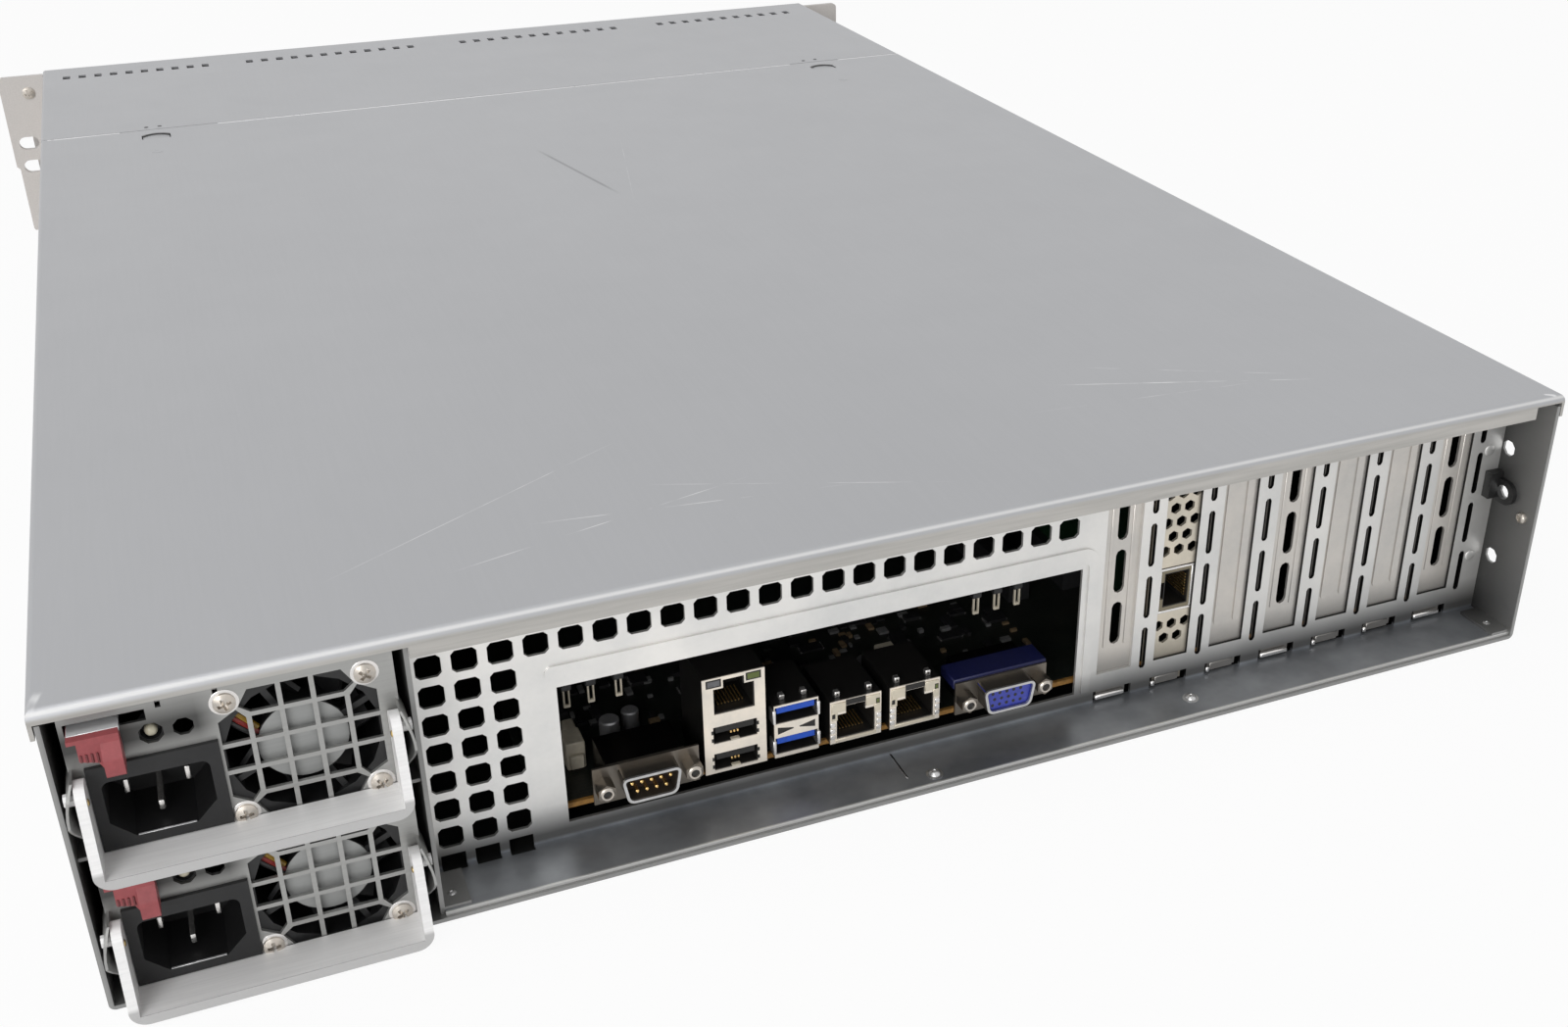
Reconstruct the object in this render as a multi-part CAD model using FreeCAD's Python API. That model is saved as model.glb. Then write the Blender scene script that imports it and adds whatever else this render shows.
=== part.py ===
import FreeCAD, Part
import math
import os

# A two-unit rack server, seen in its own frame: +Z up, the front faces -Y, the rear faces +Y.
# X = 0 is the centre plane, Y = 0 the back of the rack ears, Z = 0 the underside of the tray.
# All sizes are millimetres.

# ---- shell ----
CHASSIS_WIDTH = 437.0
CHASSIS_HEIGHT = 88.0
REAR_Y = 643.0
FRONT_Y = -3.0
TRAY_SHEET = 1.2
COVER_SHEET = 1.0
COVER_GAP = 0.3
COVER_BEND = 2.5
SKIRT_DROP = 7.2
SEAM_Y = 145.0
SEAM_GAP = 0.6
LIP_DROP_PANEL = 6.5
LIP_DROP_PSU = 3.3
LIP_INSET = 10.5
TRAY_FLANGE = 6.0
TRAY_FLANGE_START_Y = 332.0

# ---- cover latches ----
LATCH_INSET = 50.2
LATCH_ARC_Y = 152.5
LATCH_ARC_WIDTH = 12.7
LATCH_ARC_RISE = 3.4
LATCH_PIVOT_Y = 194.0
LATCH_LEAF = 0.8
LATCH_PAD_GAP = 0.5

# ---- front deck vents: first and last hole of each row along X, and how many ----
DECK_VENT_SPANS = ((136.8, 206.6), (26.5, 113.8), (-91.7, -3.0), (-200.1, -120.1))
DECK_VENT_COUNTS = (10, 12, 12, 11)
DECK_VENT_Y = 19.0
DECK_VENT_X_SIZE = 3.6
DECK_VENT_Y_SIZE = 6.4

# ---- rear panel ----
PANEL_SETBACK = 18.8
PANEL_SHEET = 1.0
PANEL_TOP_DROP = 5.6
LEDGE_DEPTH = 11.8
FLOOR_LIP_DEPTH = 17.8
VENT_X = 6.7
VENT_Z = 6.6
VENT_ROUND = 1.1
VENT_PITCH_X = 9.27
VENT_SIDE_GAP = 5.8
VENT_TOP_DROP = 22.0
VENT_LOW_Z = 2.8
VENT_ROW_COUNT = 21
VENT_BLOCK_COUNT = 3
VENT_LEVEL_COUNT = 8
IO_WIDTH = 158.75
IO_HEIGHT = 44.45
IO_LEFT_X = 96.9
IO_BOTTOM_Z = 7.0
IO_RIM = 5.0
IO_RIM_GAP = 2.0
IO_RIM_OVERRUN = 3.0
IO_RIM_END = 2.4
IO_RIM_RISE = 0.6
FOOT_TAB = 7.0
FOOT_TAB_SHEET = 1.0
FOOT_TAB_START = 2.8

# ---- expansion slots ----
SLOT_COUNT = 7
SLOT_PITCH = 20.32
SLOT_FIRST_X = -75.4
SLOT_OPENING = 12.2
SLOT_BOTTOM_Z = 12.2
SLOT_TOP_DROP = 10.0
SLIT_WIDTH = 2.1
SLIT_GAP = 3.2
SLIT_FIRST_Z = 18.0
SLIT_TOP_DROP = 15.4
SLIT_LEVEL_COUNT = 4
FOOT_SLOT_WIDTH = 13.4
FOOT_SLOT_Z = (2.2, 6.0)
BRACKET_WIDTH = 18.4
BRACKET_SHEET = 0.9
BRACKET_FOOT_WIDTH = 10.2
BRACKET_FOOT_Z = 3.0
BRACKET_TAB = 11.4
VENTED_SLOTS = (1, 4, 7)
NETWORK_SLOT = 2
RIBBED_SLOTS = (3, 5, 6)
COVER_HOLE_WIDTH = 3.6
COVER_HOLE_FIRST_Z = 29.0
COVER_HOLE_COUNT = 3
RIB_OFFSET = 3.5
RIB_WIDTH = 2.4
RIB_RISE = 0.4
RIB_LOW_Z = 19.5
RIB_TOP_GAP = 3.0

# ---- network card ----
NIC_HOLE = 1.75
NIC_HOLE_PITCH = 4.8
NIC_ROW_PITCH = 4.8
NIC_LOW_HOLES_Z = 19.2
NIC_LOW_ROW_COUNT = 2
NIC_HIGH_HOLES_Z = 50.4
NIC_HIGH_ROW_COUNT = 5
NIC_JACK_WIDTH = 12.4
NIC_JACK_Z = (28.4, 44.6)
NIC_JACK_DEPTH = 18.0
NIC_BOARD_LENGTH = 120.0
NIC_BOARD_TOP_Z = 66.0
BOARD_SHEET = 1.6

# ---- motherboard ----
BOARD_BOTTOM_Z = 10.0
BOARD_MARGIN = 3.48
BOARD_DEPTH = 330.0
BOARD_LEFT_X = 104.0
BOARD_SETBACK = 2.2
STANDOFF_FLATS = 5.0
SOCKET_WIDTH = 7.5
SOCKET_HEIGHT = 11.1
SOCKET_LENGTH = 89.0
SOCKET_SETBACK = 47.0
HEATSINK_SIZE = 90.0
HEATSINK_HEADROOM = 13.4
HEATSINK_BASE = 6.0
HEATSINK_FIN_COUNT = 9
HEATSINK_FIN = 0.8
HEATSINK_X = (-75.0, 20.0)
PROCESSOR_SETBACK = 217.0
MEMORY_LENGTH = 133.0
MEMORY_SOCKET = 6.0
MEMORY_HEIGHT = 30.0
MEMORY_STICK = 3.6
MEMORY_PITCH = 9.6
MEMORY_GROUP_COUNT = 4
MEMORY_GROUP_X = (-165.0, 71.5)

# ---- rear ports: X and Z spans on the panel ----
PORT_PROUD = 0.8
PORT_DEPTH = 21.0
SHELL_WALL = 0.5
SERIAL_X = (59.3, 89.8)
SERIAL_Z = (11.6, 23.4)
LAN_USB_X = (38.9, 57.3)
LAN_USB_Z = (11.6, 43.5)
USB3_X = (23.0, 36.5)
USB3_Z = (11.6, 29.4)
LAN_JACKS_X = ((3.4, 19.4), (-15.4, 0.6))
LAN_JACKS_Z = (11.6, 26.1)
VGA_X = (-50.5, -20.2)
VGA_Z = (11.6, 22.6)
DSUB_SHELL_WIDTH = 17.0
DSUB_SHELL_HEIGHT = 8.4
DSUB_SHELL_REACH = 5.8
DSUB_BODY_DEPTH = 14.0
DSUB_FLANGE = 0.8
DSUB_NUT_FLATS = 4.8
DSUB_NUT_REACH = 4.6
DSUB_NUT_SPACING = 25.0
RJ45_WIDTH = 12.0
RJ45_HEIGHT = 8.4
RJ45_DEPTH = 14.0
RJ45_NOTCH_WIDTH = 6.2
RJ45_NOTCH = 2.6
STACK_JACK_LOW_Z = 31.4
STACK_USB_LOW_Z = (21.6, 12.6)
USB3_LOW_Z = (23.2, 12.8)
LAN_JACK_LOW_Z = 13.0
USB_WIDTH = 13.0
USB_HEIGHT = 5.6
USB_DEPTH = 12.0

# ---- power supplies ----
PSU_FACE_GAPS = 4.2
PSU_SIDE_GAP = 3.0
PSU_FLOOR_GAP = 0.5
PSU_SHELF_ROOM = 1.4
PSU_TOP_DROP = 4.5
PSU_LENGTH = 336.0
PSU_SETBACK = 2.0
PSU_SHEET = 1.0
PSU_NOTCH_INSETS = (21.5, 34.0)
PSU_NOTCH_WIDTH = 1.2
PSU_NOTCH_DEPTH = 1.9
BAY_SIDE_GAP = 2.6
BAY_SHELF_GAP = 0.2
BAY_OVERRUN = 20.0
FAN_SIDE_GAP = 4.1
FAN_DROP = 0.2
PSU_FAN_MARGIN = 2.6
PSU_FAN_DEPTH = 28.0
PSU_FAN_WALL = 0.9
GRILLE_BAR = 1.2
GRILLE_POINT = 2.6
INLET_WIDTH = 29.2
INLET_INSET = 3.4
INLET_LOW_UP = 2.9
INLET_MOUTH_MARGINS = (2.8, 2.6, 2.7, 4.4)
INLET_MOUTH_CHAMFER = 5.0
INLET_PROUD = 1.2
INLET_DEPTH = 21.0
INLET_CAVITY = 17.0
LED_INSET = 18.9
LED_HOLE = 2.7
POKE_INSET = 25.9
POKE_HOLE = 2.3
INDICATOR_DROP = 8.4

# ---- power supply handle ----
HANDLE_SIDE_GAP = 0.8
HANDLE_STRIP = 2.4
HANDLE_BAR = 2.8
HANDLE_DEPTH = 11.7
HANDLE_CORNER = 4.5
HANDLE_BASE_DROP = 0.2
HANDLE_PIVOT_DROP = 18.5
HANDLE_TIP = 4.2
PIVOT_PIN = 1.5
PIVOT_PLAY = 0.3
EAR_BOW = 1.9
EAR_SHEET = 0.6
EAR_BELOW_PIVOT = 15.0
EAR_ABOVE_PIVOT = 5.0
EAR_REACH = 9.0
EAR_ROOT = 5.0

# ---- power supply release latch: insets from the supply's outer side, its top and its face ----
RELEASE_INSETS = (12.6, 3.5)
RELEASE_DROPS = (13.3, 4.0)
RELEASE_REACH = 6.4
RELEASE_STRIP = 1.0
RELEASE_STRIP_DROP = 3.8
RELEASE_STRIP_ROOT = 30.0
RELEASE_LEAF_INSETS = (2.6, 1.6)
RELEASE_PIVOT_SETBACK = 43.0
RELEASE_SLOT_INSETS = (18.5, 1.1)
RELEASE_SLOT_DROPS = (4.6, 1.6)
RELEASE_BARB_SETBACKS = (29.0, 17.0)
RELEASE_BARB_OUT = 1.2

# ---- front end ----
EAR_OVERHANG = 22.8
EAR_THICK = 3.0
EAR_LOW_Z = 2.4
EAR_TOP_DROP = 1.5
EAR_STEP_Z = 37.0
EAR_STEP = 1.5
EAR_LEG = 32.0
EAR_LEG_SHEET = 2.0
RACK_HOLE_INSET = 8.75
RACK_HOLE_PITCH = 12.7
RACK_HOLE_RISE = 0.45
RACK_HOLE_R = 3.4
RACK_HOLE_LENGTH = 10.0
PULL_INSET = 13.9
PULL_LOW_Z = 11.4
PULL_TOP_DROP = 10.5
PULL_REACH = 32.0
PULL_BAR = 7.0
PULL_WIDTH = 9.0
PULL_BEND = 12.0
BAY_COLUMN_COUNT = 4
BAY_ROW_COUNT = 2
BAY_HEADROOM = 30.8
BAY_FLOOR_GAP = 0.4
CARRIER_LENGTH = 146.0
CARRIER_BEZEL = 7.0
CARRIER_WALL = 1.2
CARRIER_RAIL_DROP = 7.0
CARRIER_GAP = 0.4
CARRIER_SLOT_COUNT = 3
CARRIER_SLOT = 3.0
CARRIER_SLOT_PITCH = 5.0
LEVER_SIDE_ROOM = 34.0
LEVER_HEIGHT = 9.0
LEVER_THICK = 4.2
LEVER_INSET = 8.0
LEVER_STANDOFF = 0.5
CAGE_DEPTH = 150.0
FACE_VENT_BAR = 3.0
FACE_VENT_HEIGHT = 16.0
FACE_VENT_COUNT = 22
FACE_BLANK_COUNT = 5
POWER_BUTTON_INSET = 16.0
POWER_BUTTON_R = 4.5
POWER_BUTTON_PLAY = 0.25
POWER_BUTTON_PROUD = 2.2
BACKPLANE_Y = 152.0
BACKPLANE_PLUG = 42.0
FAN_HEADROOM = 5.8
FAN_DEPTH = 38.0
FAN_FRONT_Y = 166.0
FAN_COUNT = 3
FAN_SIDE_ROOM = 12.0
FAN_WALL = 2.0
FAN_TIP_GAP = 1.5
BLADE_TILT = 38.0
BLADE_SHEET = 1.2

# ---- lock loop on the rear corner ----
LOOP_Z = 48.6
LOOP_HOLE = 2.4
LOOP_REACH = 10.0
LOOP_TAB = 1.6
LOOP_BLOCK_X = 5.0
LOOP_BLOCK_Z = (45.6, 54.6)

# ---- holes in the side walls behind the panel: Y from the panel's face, Z and radius ----
WALL_HOLES = ((2.8, 63.0, 2.6), (4.1, 24.1, 2.6), (5.1, 48.6, 2.6))

# ---- sizes that follow from the ones above ----

def inside(edge, insets):
    """A (low, high) pair given by its two distances inwards from an edge."""
    return (edge - insets[0], edge - insets[1])


COVER_X = CHASSIS_WIDTH / 2
COVER_UNDER_Z = CHASSIS_HEIGHT - COVER_SHEET
SKIRT_Z = CHASSIS_HEIGHT - SKIRT_DROP
WALL_OUT = COVER_X - COVER_SHEET - COVER_GAP
WALL_IN = WALL_OUT - TRAY_SHEET
WALL_TOP_Z = COVER_UNDER_Z - COVER_GAP

PSU_HEIGHT = (CHASSIS_HEIGHT - PSU_TOP_DROP - PSU_SHELF_ROOM - TRAY_SHEET - PSU_FLOOR_GAP) / 2
PSU_BASE_Z = (CHASSIS_HEIGHT - PSU_TOP_DROP - PSU_HEIGHT, TRAY_SHEET + PSU_FLOOR_GAP)
PSU_FAN = PSU_HEIGHT - PSU_FAN_MARGIN
PSU_WIDTH = PSU_FAN + INLET_WIDTH + INLET_INSET + PSU_FACE_GAPS
PSU_X = inside(WALL_IN - PSU_SIDE_GAP, (PSU_WIDTH, 0.0))
PSU_FACE_Y = REAR_Y - PSU_SETBACK
PSU_FRONT_Y = PSU_FACE_Y - PSU_LENGTH
BAY_X = PSU_X[0] - BAY_SIDE_GAP
DIVIDER_X = BAY_X - TRAY_SHEET
FAN_X = PSU_X[0] + FAN_SIDE_GAP + PSU_FAN / 2
FAN_CENTRE_UP = PSU_HEIGHT / 2 - FAN_DROP
PSU_FAN_BORE = PSU_FAN / 2 - PSU_FAN_WALL
PSU_FAN_HUB = PSU_FAN_BORE * 0.6
GRILLE_PITCH = PSU_FAN / 5
LED_X = PSU_X[1] - LED_INSET
POKE_X = PSU_X[1] - POKE_INSET
INDICATOR_UP = PSU_HEIGHT - INDICATOR_DROP
RELEASE_X = inside(PSU_X[1], RELEASE_INSETS)
RELEASE_UP = inside(PSU_HEIGHT, RELEASE_DROPS)
RELEASE_STRIP_UP = PSU_HEIGHT - RELEASE_STRIP_DROP
RELEASE_LEAF_X = inside(PSU_X[1], RELEASE_LEAF_INSETS)
RELEASE_PIVOT_Y = PSU_FACE_Y - RELEASE_PIVOT_SETBACK
RELEASE_SLOT_X = inside(PSU_X[1], RELEASE_SLOT_INSETS)
RELEASE_SLOT_UP = inside(PSU_HEIGHT, RELEASE_SLOT_DROPS)
RELEASE_BARB_Y = inside(PSU_FACE_Y, RELEASE_BARB_SETBACKS)
HANDLE_PIVOT_UP = PSU_HEIGHT - HANDLE_PIVOT_DROP
INLET_X = inside(PSU_X[1] - INLET_INSET, (INLET_WIDTH, 0.0))
INLET_UP = (INLET_LOW_UP, RELEASE_UP[0] - 0.5)
INLET_MOUTH_X = (INLET_X[0] + INLET_MOUTH_MARGINS[0], INLET_X[1] - INLET_MOUTH_MARGINS[1])
INLET_MOUTH_UP = (INLET_UP[0] + INLET_MOUTH_MARGINS[2], INLET_UP[1] - INLET_MOUTH_MARGINS[3])

PANEL_FACE_Y = REAR_Y - PANEL_SETBACK
PANEL_BACK_Y = PANEL_FACE_Y - PANEL_SHEET
PANEL_TOP_Z = CHASSIS_HEIGHT - PANEL_TOP_DROP
LIP_TOP_Z = TRAY_SHEET + PANEL_SHEET
VENT_FIRST_X = DIVIDER_X - VENT_SIDE_GAP
VENT_TOP_Z = CHASSIS_HEIGHT - VENT_TOP_DROP
VENT_PITCH_Z = (VENT_TOP_Z - VENT_LOW_Z) / (VENT_LEVEL_COUNT - 1)
SLOT_TOP_Z = CHASSIS_HEIGHT - SLOT_TOP_DROP
SLIT_PITCH_Z = (CHASSIS_HEIGHT - SLIT_TOP_DROP - SLIT_FIRST_Z) / (SLIT_LEVEL_COUNT - 1)
SLIT_LENGTH = SLIT_PITCH_Z - SLIT_GAP
RIB_Z = (RIB_LOW_Z, SLOT_TOP_Z - RIB_TOP_GAP)

BOARD_WIDTH = BOARD_LEFT_X - SLOT_FIRST_X + (SLOT_COUNT - 1) * SLOT_PITCH + BOARD_MARGIN
BOARD_REAR_Y = PANEL_FACE_Y - BOARD_SETBACK
BOARD_TOP_Z = BOARD_BOTTOM_Z + BOARD_SHEET
SOCKET_REAR_Y = BOARD_REAR_Y - SOCKET_SETBACK
PROCESSOR_Y = BOARD_REAR_Y - PROCESSOR_SETBACK
HEATSINK_HEIGHT = COVER_UNDER_Z - BOARD_TOP_Z - HEATSINK_HEADROOM
PORT_FACE_Y = PANEL_FACE_Y + PORT_PROUD

LATCH_X = COVER_X - LATCH_INSET
EAR_OUTER_X = COVER_X + EAR_OVERHANG
RACK_HOLE_X = EAR_OUTER_X - RACK_HOLE_INSET
PULL_X = EAR_OUTER_X - PULL_INSET
EAR_Z = (EAR_LOW_Z, CHASSIS_HEIGHT - EAR_TOP_DROP)
RACK_HOLE_MIDDLE_Z = CHASSIS_HEIGHT / 2 + RACK_HOLE_RISE
PULL_Z = (PULL_LOW_Z, CHASSIS_HEIGHT - PULL_TOP_DROP)
CAGE_TOP_Z = CHASSIS_HEIGHT - BAY_HEADROOM
COLUMN_PITCH = 2 * WALL_IN / BAY_COLUMN_COUNT
ROW_PITCH = (CAGE_TOP_Z - TRAY_SHEET) / BAY_ROW_COUNT
CARRIER_HEIGHT = ROW_PITCH - 2 * BAY_FLOOR_GAP - TRAY_SHEET
CARRIER_RAIL = CARRIER_HEIGHT - CARRIER_RAIL_DROP
LEVER_LENGTH = COLUMN_PITCH - LEVER_SIDE_ROOM
FACE_VENT_Z = (CAGE_TOP_Z + WALL_TOP_Z) / 2
FACE_VENT_PITCH = 2 * WALL_IN / (FACE_VENT_COUNT + FACE_BLANK_COUNT)
FACE_VENT_WIDTH = FACE_VENT_PITCH - FACE_VENT_BAR
POWER_BUTTON_X = WALL_IN - POWER_BUTTON_INSET
FAN_PITCH = (2 * WALL_IN - FAN_SIDE_ROOM) / FAN_COUNT
FAN_SIZE = COVER_UNDER_Z - TRAY_SHEET - FAN_HEADROOM
FAN_BORE = FAN_SIZE / 2 - FAN_WALL
FAN_HUB = FAN_BORE / 2

NORMALS = {
    "XY": FreeCAD.Vector(0, 0, 1),
    "XZ": FreeCAD.Vector(0, 1, 0),
    "YZ": FreeCAD.Vector(1, 0, 0),
}


def spot(plane, u, v, w):
    """The point with in-plane coordinates u and v, at w along the plane's normal."""
    if plane == "XY":
        return FreeCAD.Vector(u, v, w)
    if plane == "XZ":
        return FreeCAD.Vector(u, w, v)
    return FreeCAD.Vector(w, u, v)


def block(x, y, z):
    """A box from three (low, high) pairs."""
    corner = FreeCAD.Vector(x[0], y[0], z[0])
    return Part.makeBox(x[1] - x[0], y[1] - y[0], z[1] - z[0], corner)


def rod(plane, centre, radius, span):
    """A round bar that stands on a plane, from span[0] to span[1]."""
    base = spot(plane, centre[0], centre[1], span[0])
    return Part.makeCylinder(radius, span[1] - span[0], base, NORMALS[plane])


def outline(plane, points, w=0.0):
    """A closed wire through (u, v) or (u, v, corner radius) points."""
    count = len(points)
    places = [FreeCAD.Vector(p[0], p[1], 0) for p in points]
    ends = []
    for i, point in enumerate(points):
        here = places[i]
        radius = point[2] if len(point) > 2 else 0.0
        if radius == 0:
            ends.append((here, here, here))
            continue
        back = (places[i - 1] - here).normalize()
        ahead = (places[(i + 1) % count] - here).normalize()
        half = back.getAngle(ahead) / 2
        reach = radius / math.tan(half)
        middle = (back + ahead).normalize()
        bulge = middle * (radius / math.sin(half) - radius)
        ends.append((here + back * reach, here + bulge, here + ahead * reach))
    edges = []
    for i in range(count):
        start, middle, finish = [spot(plane, p.x, p.y, w) for p in ends[i]]
        following = ends[(i + 1) % count][0]
        following = spot(plane, following.x, following.y, w)
        if start.distanceToPoint(finish) > 1e-6:
            edges.append(Part.Arc(start, middle, finish).toShape())
        if finish.distanceToPoint(following) > 1e-6:
            edges.append(Part.LineSegment(finish, following).toShape())
    return Part.Wire(edges)


def box_points(u, v, radius=0.0):
    """The four corners of a rectangle given as two (low, high) pairs."""
    corners = ((u[0], v[0]), (u[1], v[0]), (u[1], v[1]), (u[0], v[1]))
    return [(a, b, radius) for a, b in corners]


def around(centre, size):
    """The (low, high) pair of a length centred on a value."""
    return (centre - size / 2, centre + size / 2)


def circle(plane, centre, radius, w=0.0):
    """A round wire."""
    return Part.Wire(Part.makeCircle(radius, spot(plane, centre[0], centre[1], w), NORMALS[plane]))


def punched(plane, u, v, corner, w=0.0):
    """A rectangular hole whose corners are broken by a short straight edge, as a worn punch leaves them."""
    points = []
    for a, b, first in ((0, 0, 1), (1, 0, 0), (1, 1, 1), (0, 1, 0)):
        along = (u[a] + (corner if a == 0 else -corner), v[b])
        upright = (u[a], v[b] + (corner if b == 0 else -corner))
        points += [upright, along] if first else [along, upright]
    return outline(plane, points, w)


def near_round(plane, centre, radius, w=0.0, sides=8):
    """A regular outline with the area of the circle that it stands for."""
    step = 2 * math.pi / sides
    reach = radius * math.sqrt(step / math.sin(step))
    turns = [step * (i + 0.5) for i in range(sides)]
    points = [(centre[0] + reach * math.cos(t), centre[1] + reach * math.sin(t)) for t in turns]
    return outline(plane, points, w)


def near_rod(plane, centre, radius, span, sides=8):
    """A bar of regular section, for a round piece too small or too hidden to need more."""
    return slab(plane, near_round(plane, centre, radius, span[0], sides), [], span)


def round_ended(plane, centre, width, length, w=0.0, steps=4):
    """An upright slot whose round ends are drawn with a few straight edges each."""
    points = []
    reach = (length - width) / 2
    for end in (1, -1):
        for i in range(steps + 1):
            turn = math.pi * i / steps
            across = end * math.cos(turn) * width / 2
            along = end * (math.sin(turn) * width / 2 + reach)
            points.append((centre[0] + across, centre[1] + along))
    return outline(plane, points, w)


def bolt_slot(plane, centre, length, height, w=0.0):
    """A level slot whose ends are true half rounds, for a bolt to seat in."""
    return outline(plane, box_points(around(centre[0], length), around(centre[1], height), height / 2), w)


def slab(plane, outer, holes, span):
    """A flat sheet from an outer wire and its holes, drawn at span[0] and as thick as the span."""
    face = Part.makeFace([outer] + list(holes), "Part::FaceMakerBullseye")
    return face.extrude(NORMALS[plane] * (span[1] - span[0]))


def prism(plane, points, span):
    """A solid with the given outline and no holes."""
    return slab(plane, outline(plane, points, span[0]), [], span)


def hexagon(plane, centre, flats, span):
    """A six-sided bar."""
    radius = flats / math.sqrt(3)
    turns = [math.radians(60 * i + 30) for i in range(6)]
    points = [(centre[0] + radius * math.cos(t), centre[1] + radius * math.sin(t)) for t in turns]
    return prism(plane, points, span)


def fused(shapes):
    """One solid from pieces that share faces or overlap."""
    shapes = list(shapes)
    whole = shapes[0].fuse(shapes[1:]) if len(shapes) > 1 else shapes[0]
    return whole.removeSplitter()


def cut(shape, tools):
    """A shape with other shapes taken away."""
    return shape.cut(list(tools))


def save(node, *shapes):
    """Write one node, as one solid or as a group of like solids."""
    shape = shapes[0] if len(shapes) == 1 else Part.makeCompound(list(shapes))
    shape.exportStep("parts/" + node + ".step")


def slot_x(number):
    """The centre of an expansion slot, counted from 1."""
    return SLOT_FIRST_X - (number - 1) * SLOT_PITCH


# ---------------------------------------------------------------- shell

def standoff_places():
    """The nine places where the motherboard is held."""
    columns = [BOARD_LEFT_X - share * BOARD_WIDTH for share in (0.05, 0.5, 0.95)]
    rows = [BOARD_REAR_Y - share * BOARD_DEPTH for share in (0.05, 0.48, 0.95)]
    return [(x, y) for x in columns for y in rows]


def foot_tab(wall, side, end):
    """A tab bent from the foot of a wall onto the panel's lip."""
    x = sorted((wall, wall + side * FOOT_TAB))
    return block(x, (PANEL_FACE_Y + FOOT_TAB_START, end), (LIP_TOP_Z, LIP_TOP_Z + FOOT_TAB_SHEET))


def chassis_tray():
    span = (FRONT_Y, REAR_Y)
    bend = TRAY_SHEET * 1.5
    section = [
        (-WALL_OUT, 0.0, bend), (WALL_OUT, 0.0, bend), (WALL_OUT, WALL_TOP_Z), (WALL_IN, WALL_TOP_Z),
        (WALL_IN, TRAY_SHEET), (-WALL_IN, TRAY_SHEET), (-WALL_IN, WALL_TOP_Z), (-WALL_OUT, WALL_TOP_Z),
    ]
    tray = prism("XZ", section, span)
    flange_z = (WALL_TOP_Z - TRAY_SHEET, WALL_TOP_Z)
    flange_y = (TRAY_FLANGE_START_Y, PANEL_BACK_Y - LEDGE_DEPTH)
    flanges = [
        block((WALL_IN - TRAY_FLANGE, WALL_IN), flange_y, flange_z),
        block((-WALL_IN, TRAY_FLANGE - WALL_IN), flange_y, flange_z),
    ]
    posts = [hexagon("XY", p, STANDOFF_FLATS, (TRAY_SHEET, BOARD_BOTTOM_Z)) for p in standoff_places()]
    tray = fused([tray, foot_tab(-WALL_IN, 1, REAR_Y - 1)] + flanges + posts)
    through = (-WALL_OUT - 1, -WALL_IN + 1)
    holes = [near_rod("YZ", (PANEL_FACE_Y + y, z), radius, through) for y, z, radius in WALL_HOLES]
    lip_room = block(
        (-COVER_X, COVER_X), (REAR_Y - COVER_BEND - COVER_GAP, REAR_Y + 1),
        (CHASSIS_HEIGHT - LIP_DROP_PSU - COVER_GAP, CHASSIS_HEIGHT))
    return cut(tray, holes + [lip_room])


def cover_shell(y):
    """The bent sheet of the deck or the cover: a top and two skirts, open underneath."""
    bend = COVER_SHEET * 1.5
    inside = COVER_X - COVER_SHEET
    section = [
        (-COVER_X, SKIRT_Z), (-inside, SKIRT_Z), (-inside, COVER_UNDER_Z, bend - COVER_SHEET),
        (inside, COVER_UNDER_Z, bend - COVER_SHEET), (inside, SKIRT_Z), (COVER_X, SKIRT_Z),
        (COVER_X, CHASSIS_HEIGHT, bend), (-COVER_X, CHASSIS_HEIGHT, bend),
    ]
    return prism("XZ", section, y)


def front_deck():
    deck = cover_shell((FRONT_Y, SEAM_Y - SEAM_GAP / 2))
    through = (COVER_UNDER_Z - 1, CHASSIS_HEIGHT + 1)
    vents = []
    for (low, high), count in zip(DECK_VENT_SPANS, DECK_VENT_COUNTS):
        for i in range(count):
            centre = low + (high - low) * i / (count - 1)
            vents.append(block(around(centre, DECK_VENT_X_SIZE), around(DECK_VENT_Y, DECK_VENT_Y_SIZE), through))
    return cut(deck, vents)


def crescent(side, grow, span):
    """The half-moon push area of a cover latch, its bow towards the front."""
    half = LATCH_ARC_WIDTH / 2 - grow
    centre = side * LATCH_X
    front = LATCH_ARC_Y + grow
    back = LATCH_ARC_Y + LATCH_ARC_RISE + LATCH_ARC_WIDTH / 2 - grow
    shoulder = LATCH_ARC_Y + LATCH_ARC_RISE
    left = spot("XY", centre - half, shoulder, span[0])
    right = spot("XY", centre + half, shoulder, span[0])
    rear_left = spot("XY", centre - half, back, span[0])
    rear_right = spot("XY", centre + half, back, span[0])
    edges = [
        Part.Arc(left, spot("XY", centre, front, span[0]), right).toShape(),
        Part.LineSegment(right, rear_right).toShape(),
        Part.LineSegment(rear_right, rear_left).toShape(),
        Part.LineSegment(rear_left, left).toShape(),
    ]
    return slab("XY", Part.Wire(edges), [], span)


def cover_block(inset, y):
    """The cover's outer form, or its hollow when inset: rounded along both sides and the rear."""
    half = COVER_X - inset
    top = CHASSIS_HEIGHT - inset
    side_bend = COVER_SHEET * 1.5 - inset
    low = SKIRT_Z - (1 if inset else 0)
    front_view = prism("XZ", [
        (-half, low), (half, low), (half, top, side_bend), (-half, top, side_bend)], y)
    side_view = prism("YZ", [
        (y[0], low), (y[1], low), (y[1], top, COVER_BEND - inset), (y[0], top)], (-COVER_X - 1, COVER_X + 1))
    return front_view.common(side_view)


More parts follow.
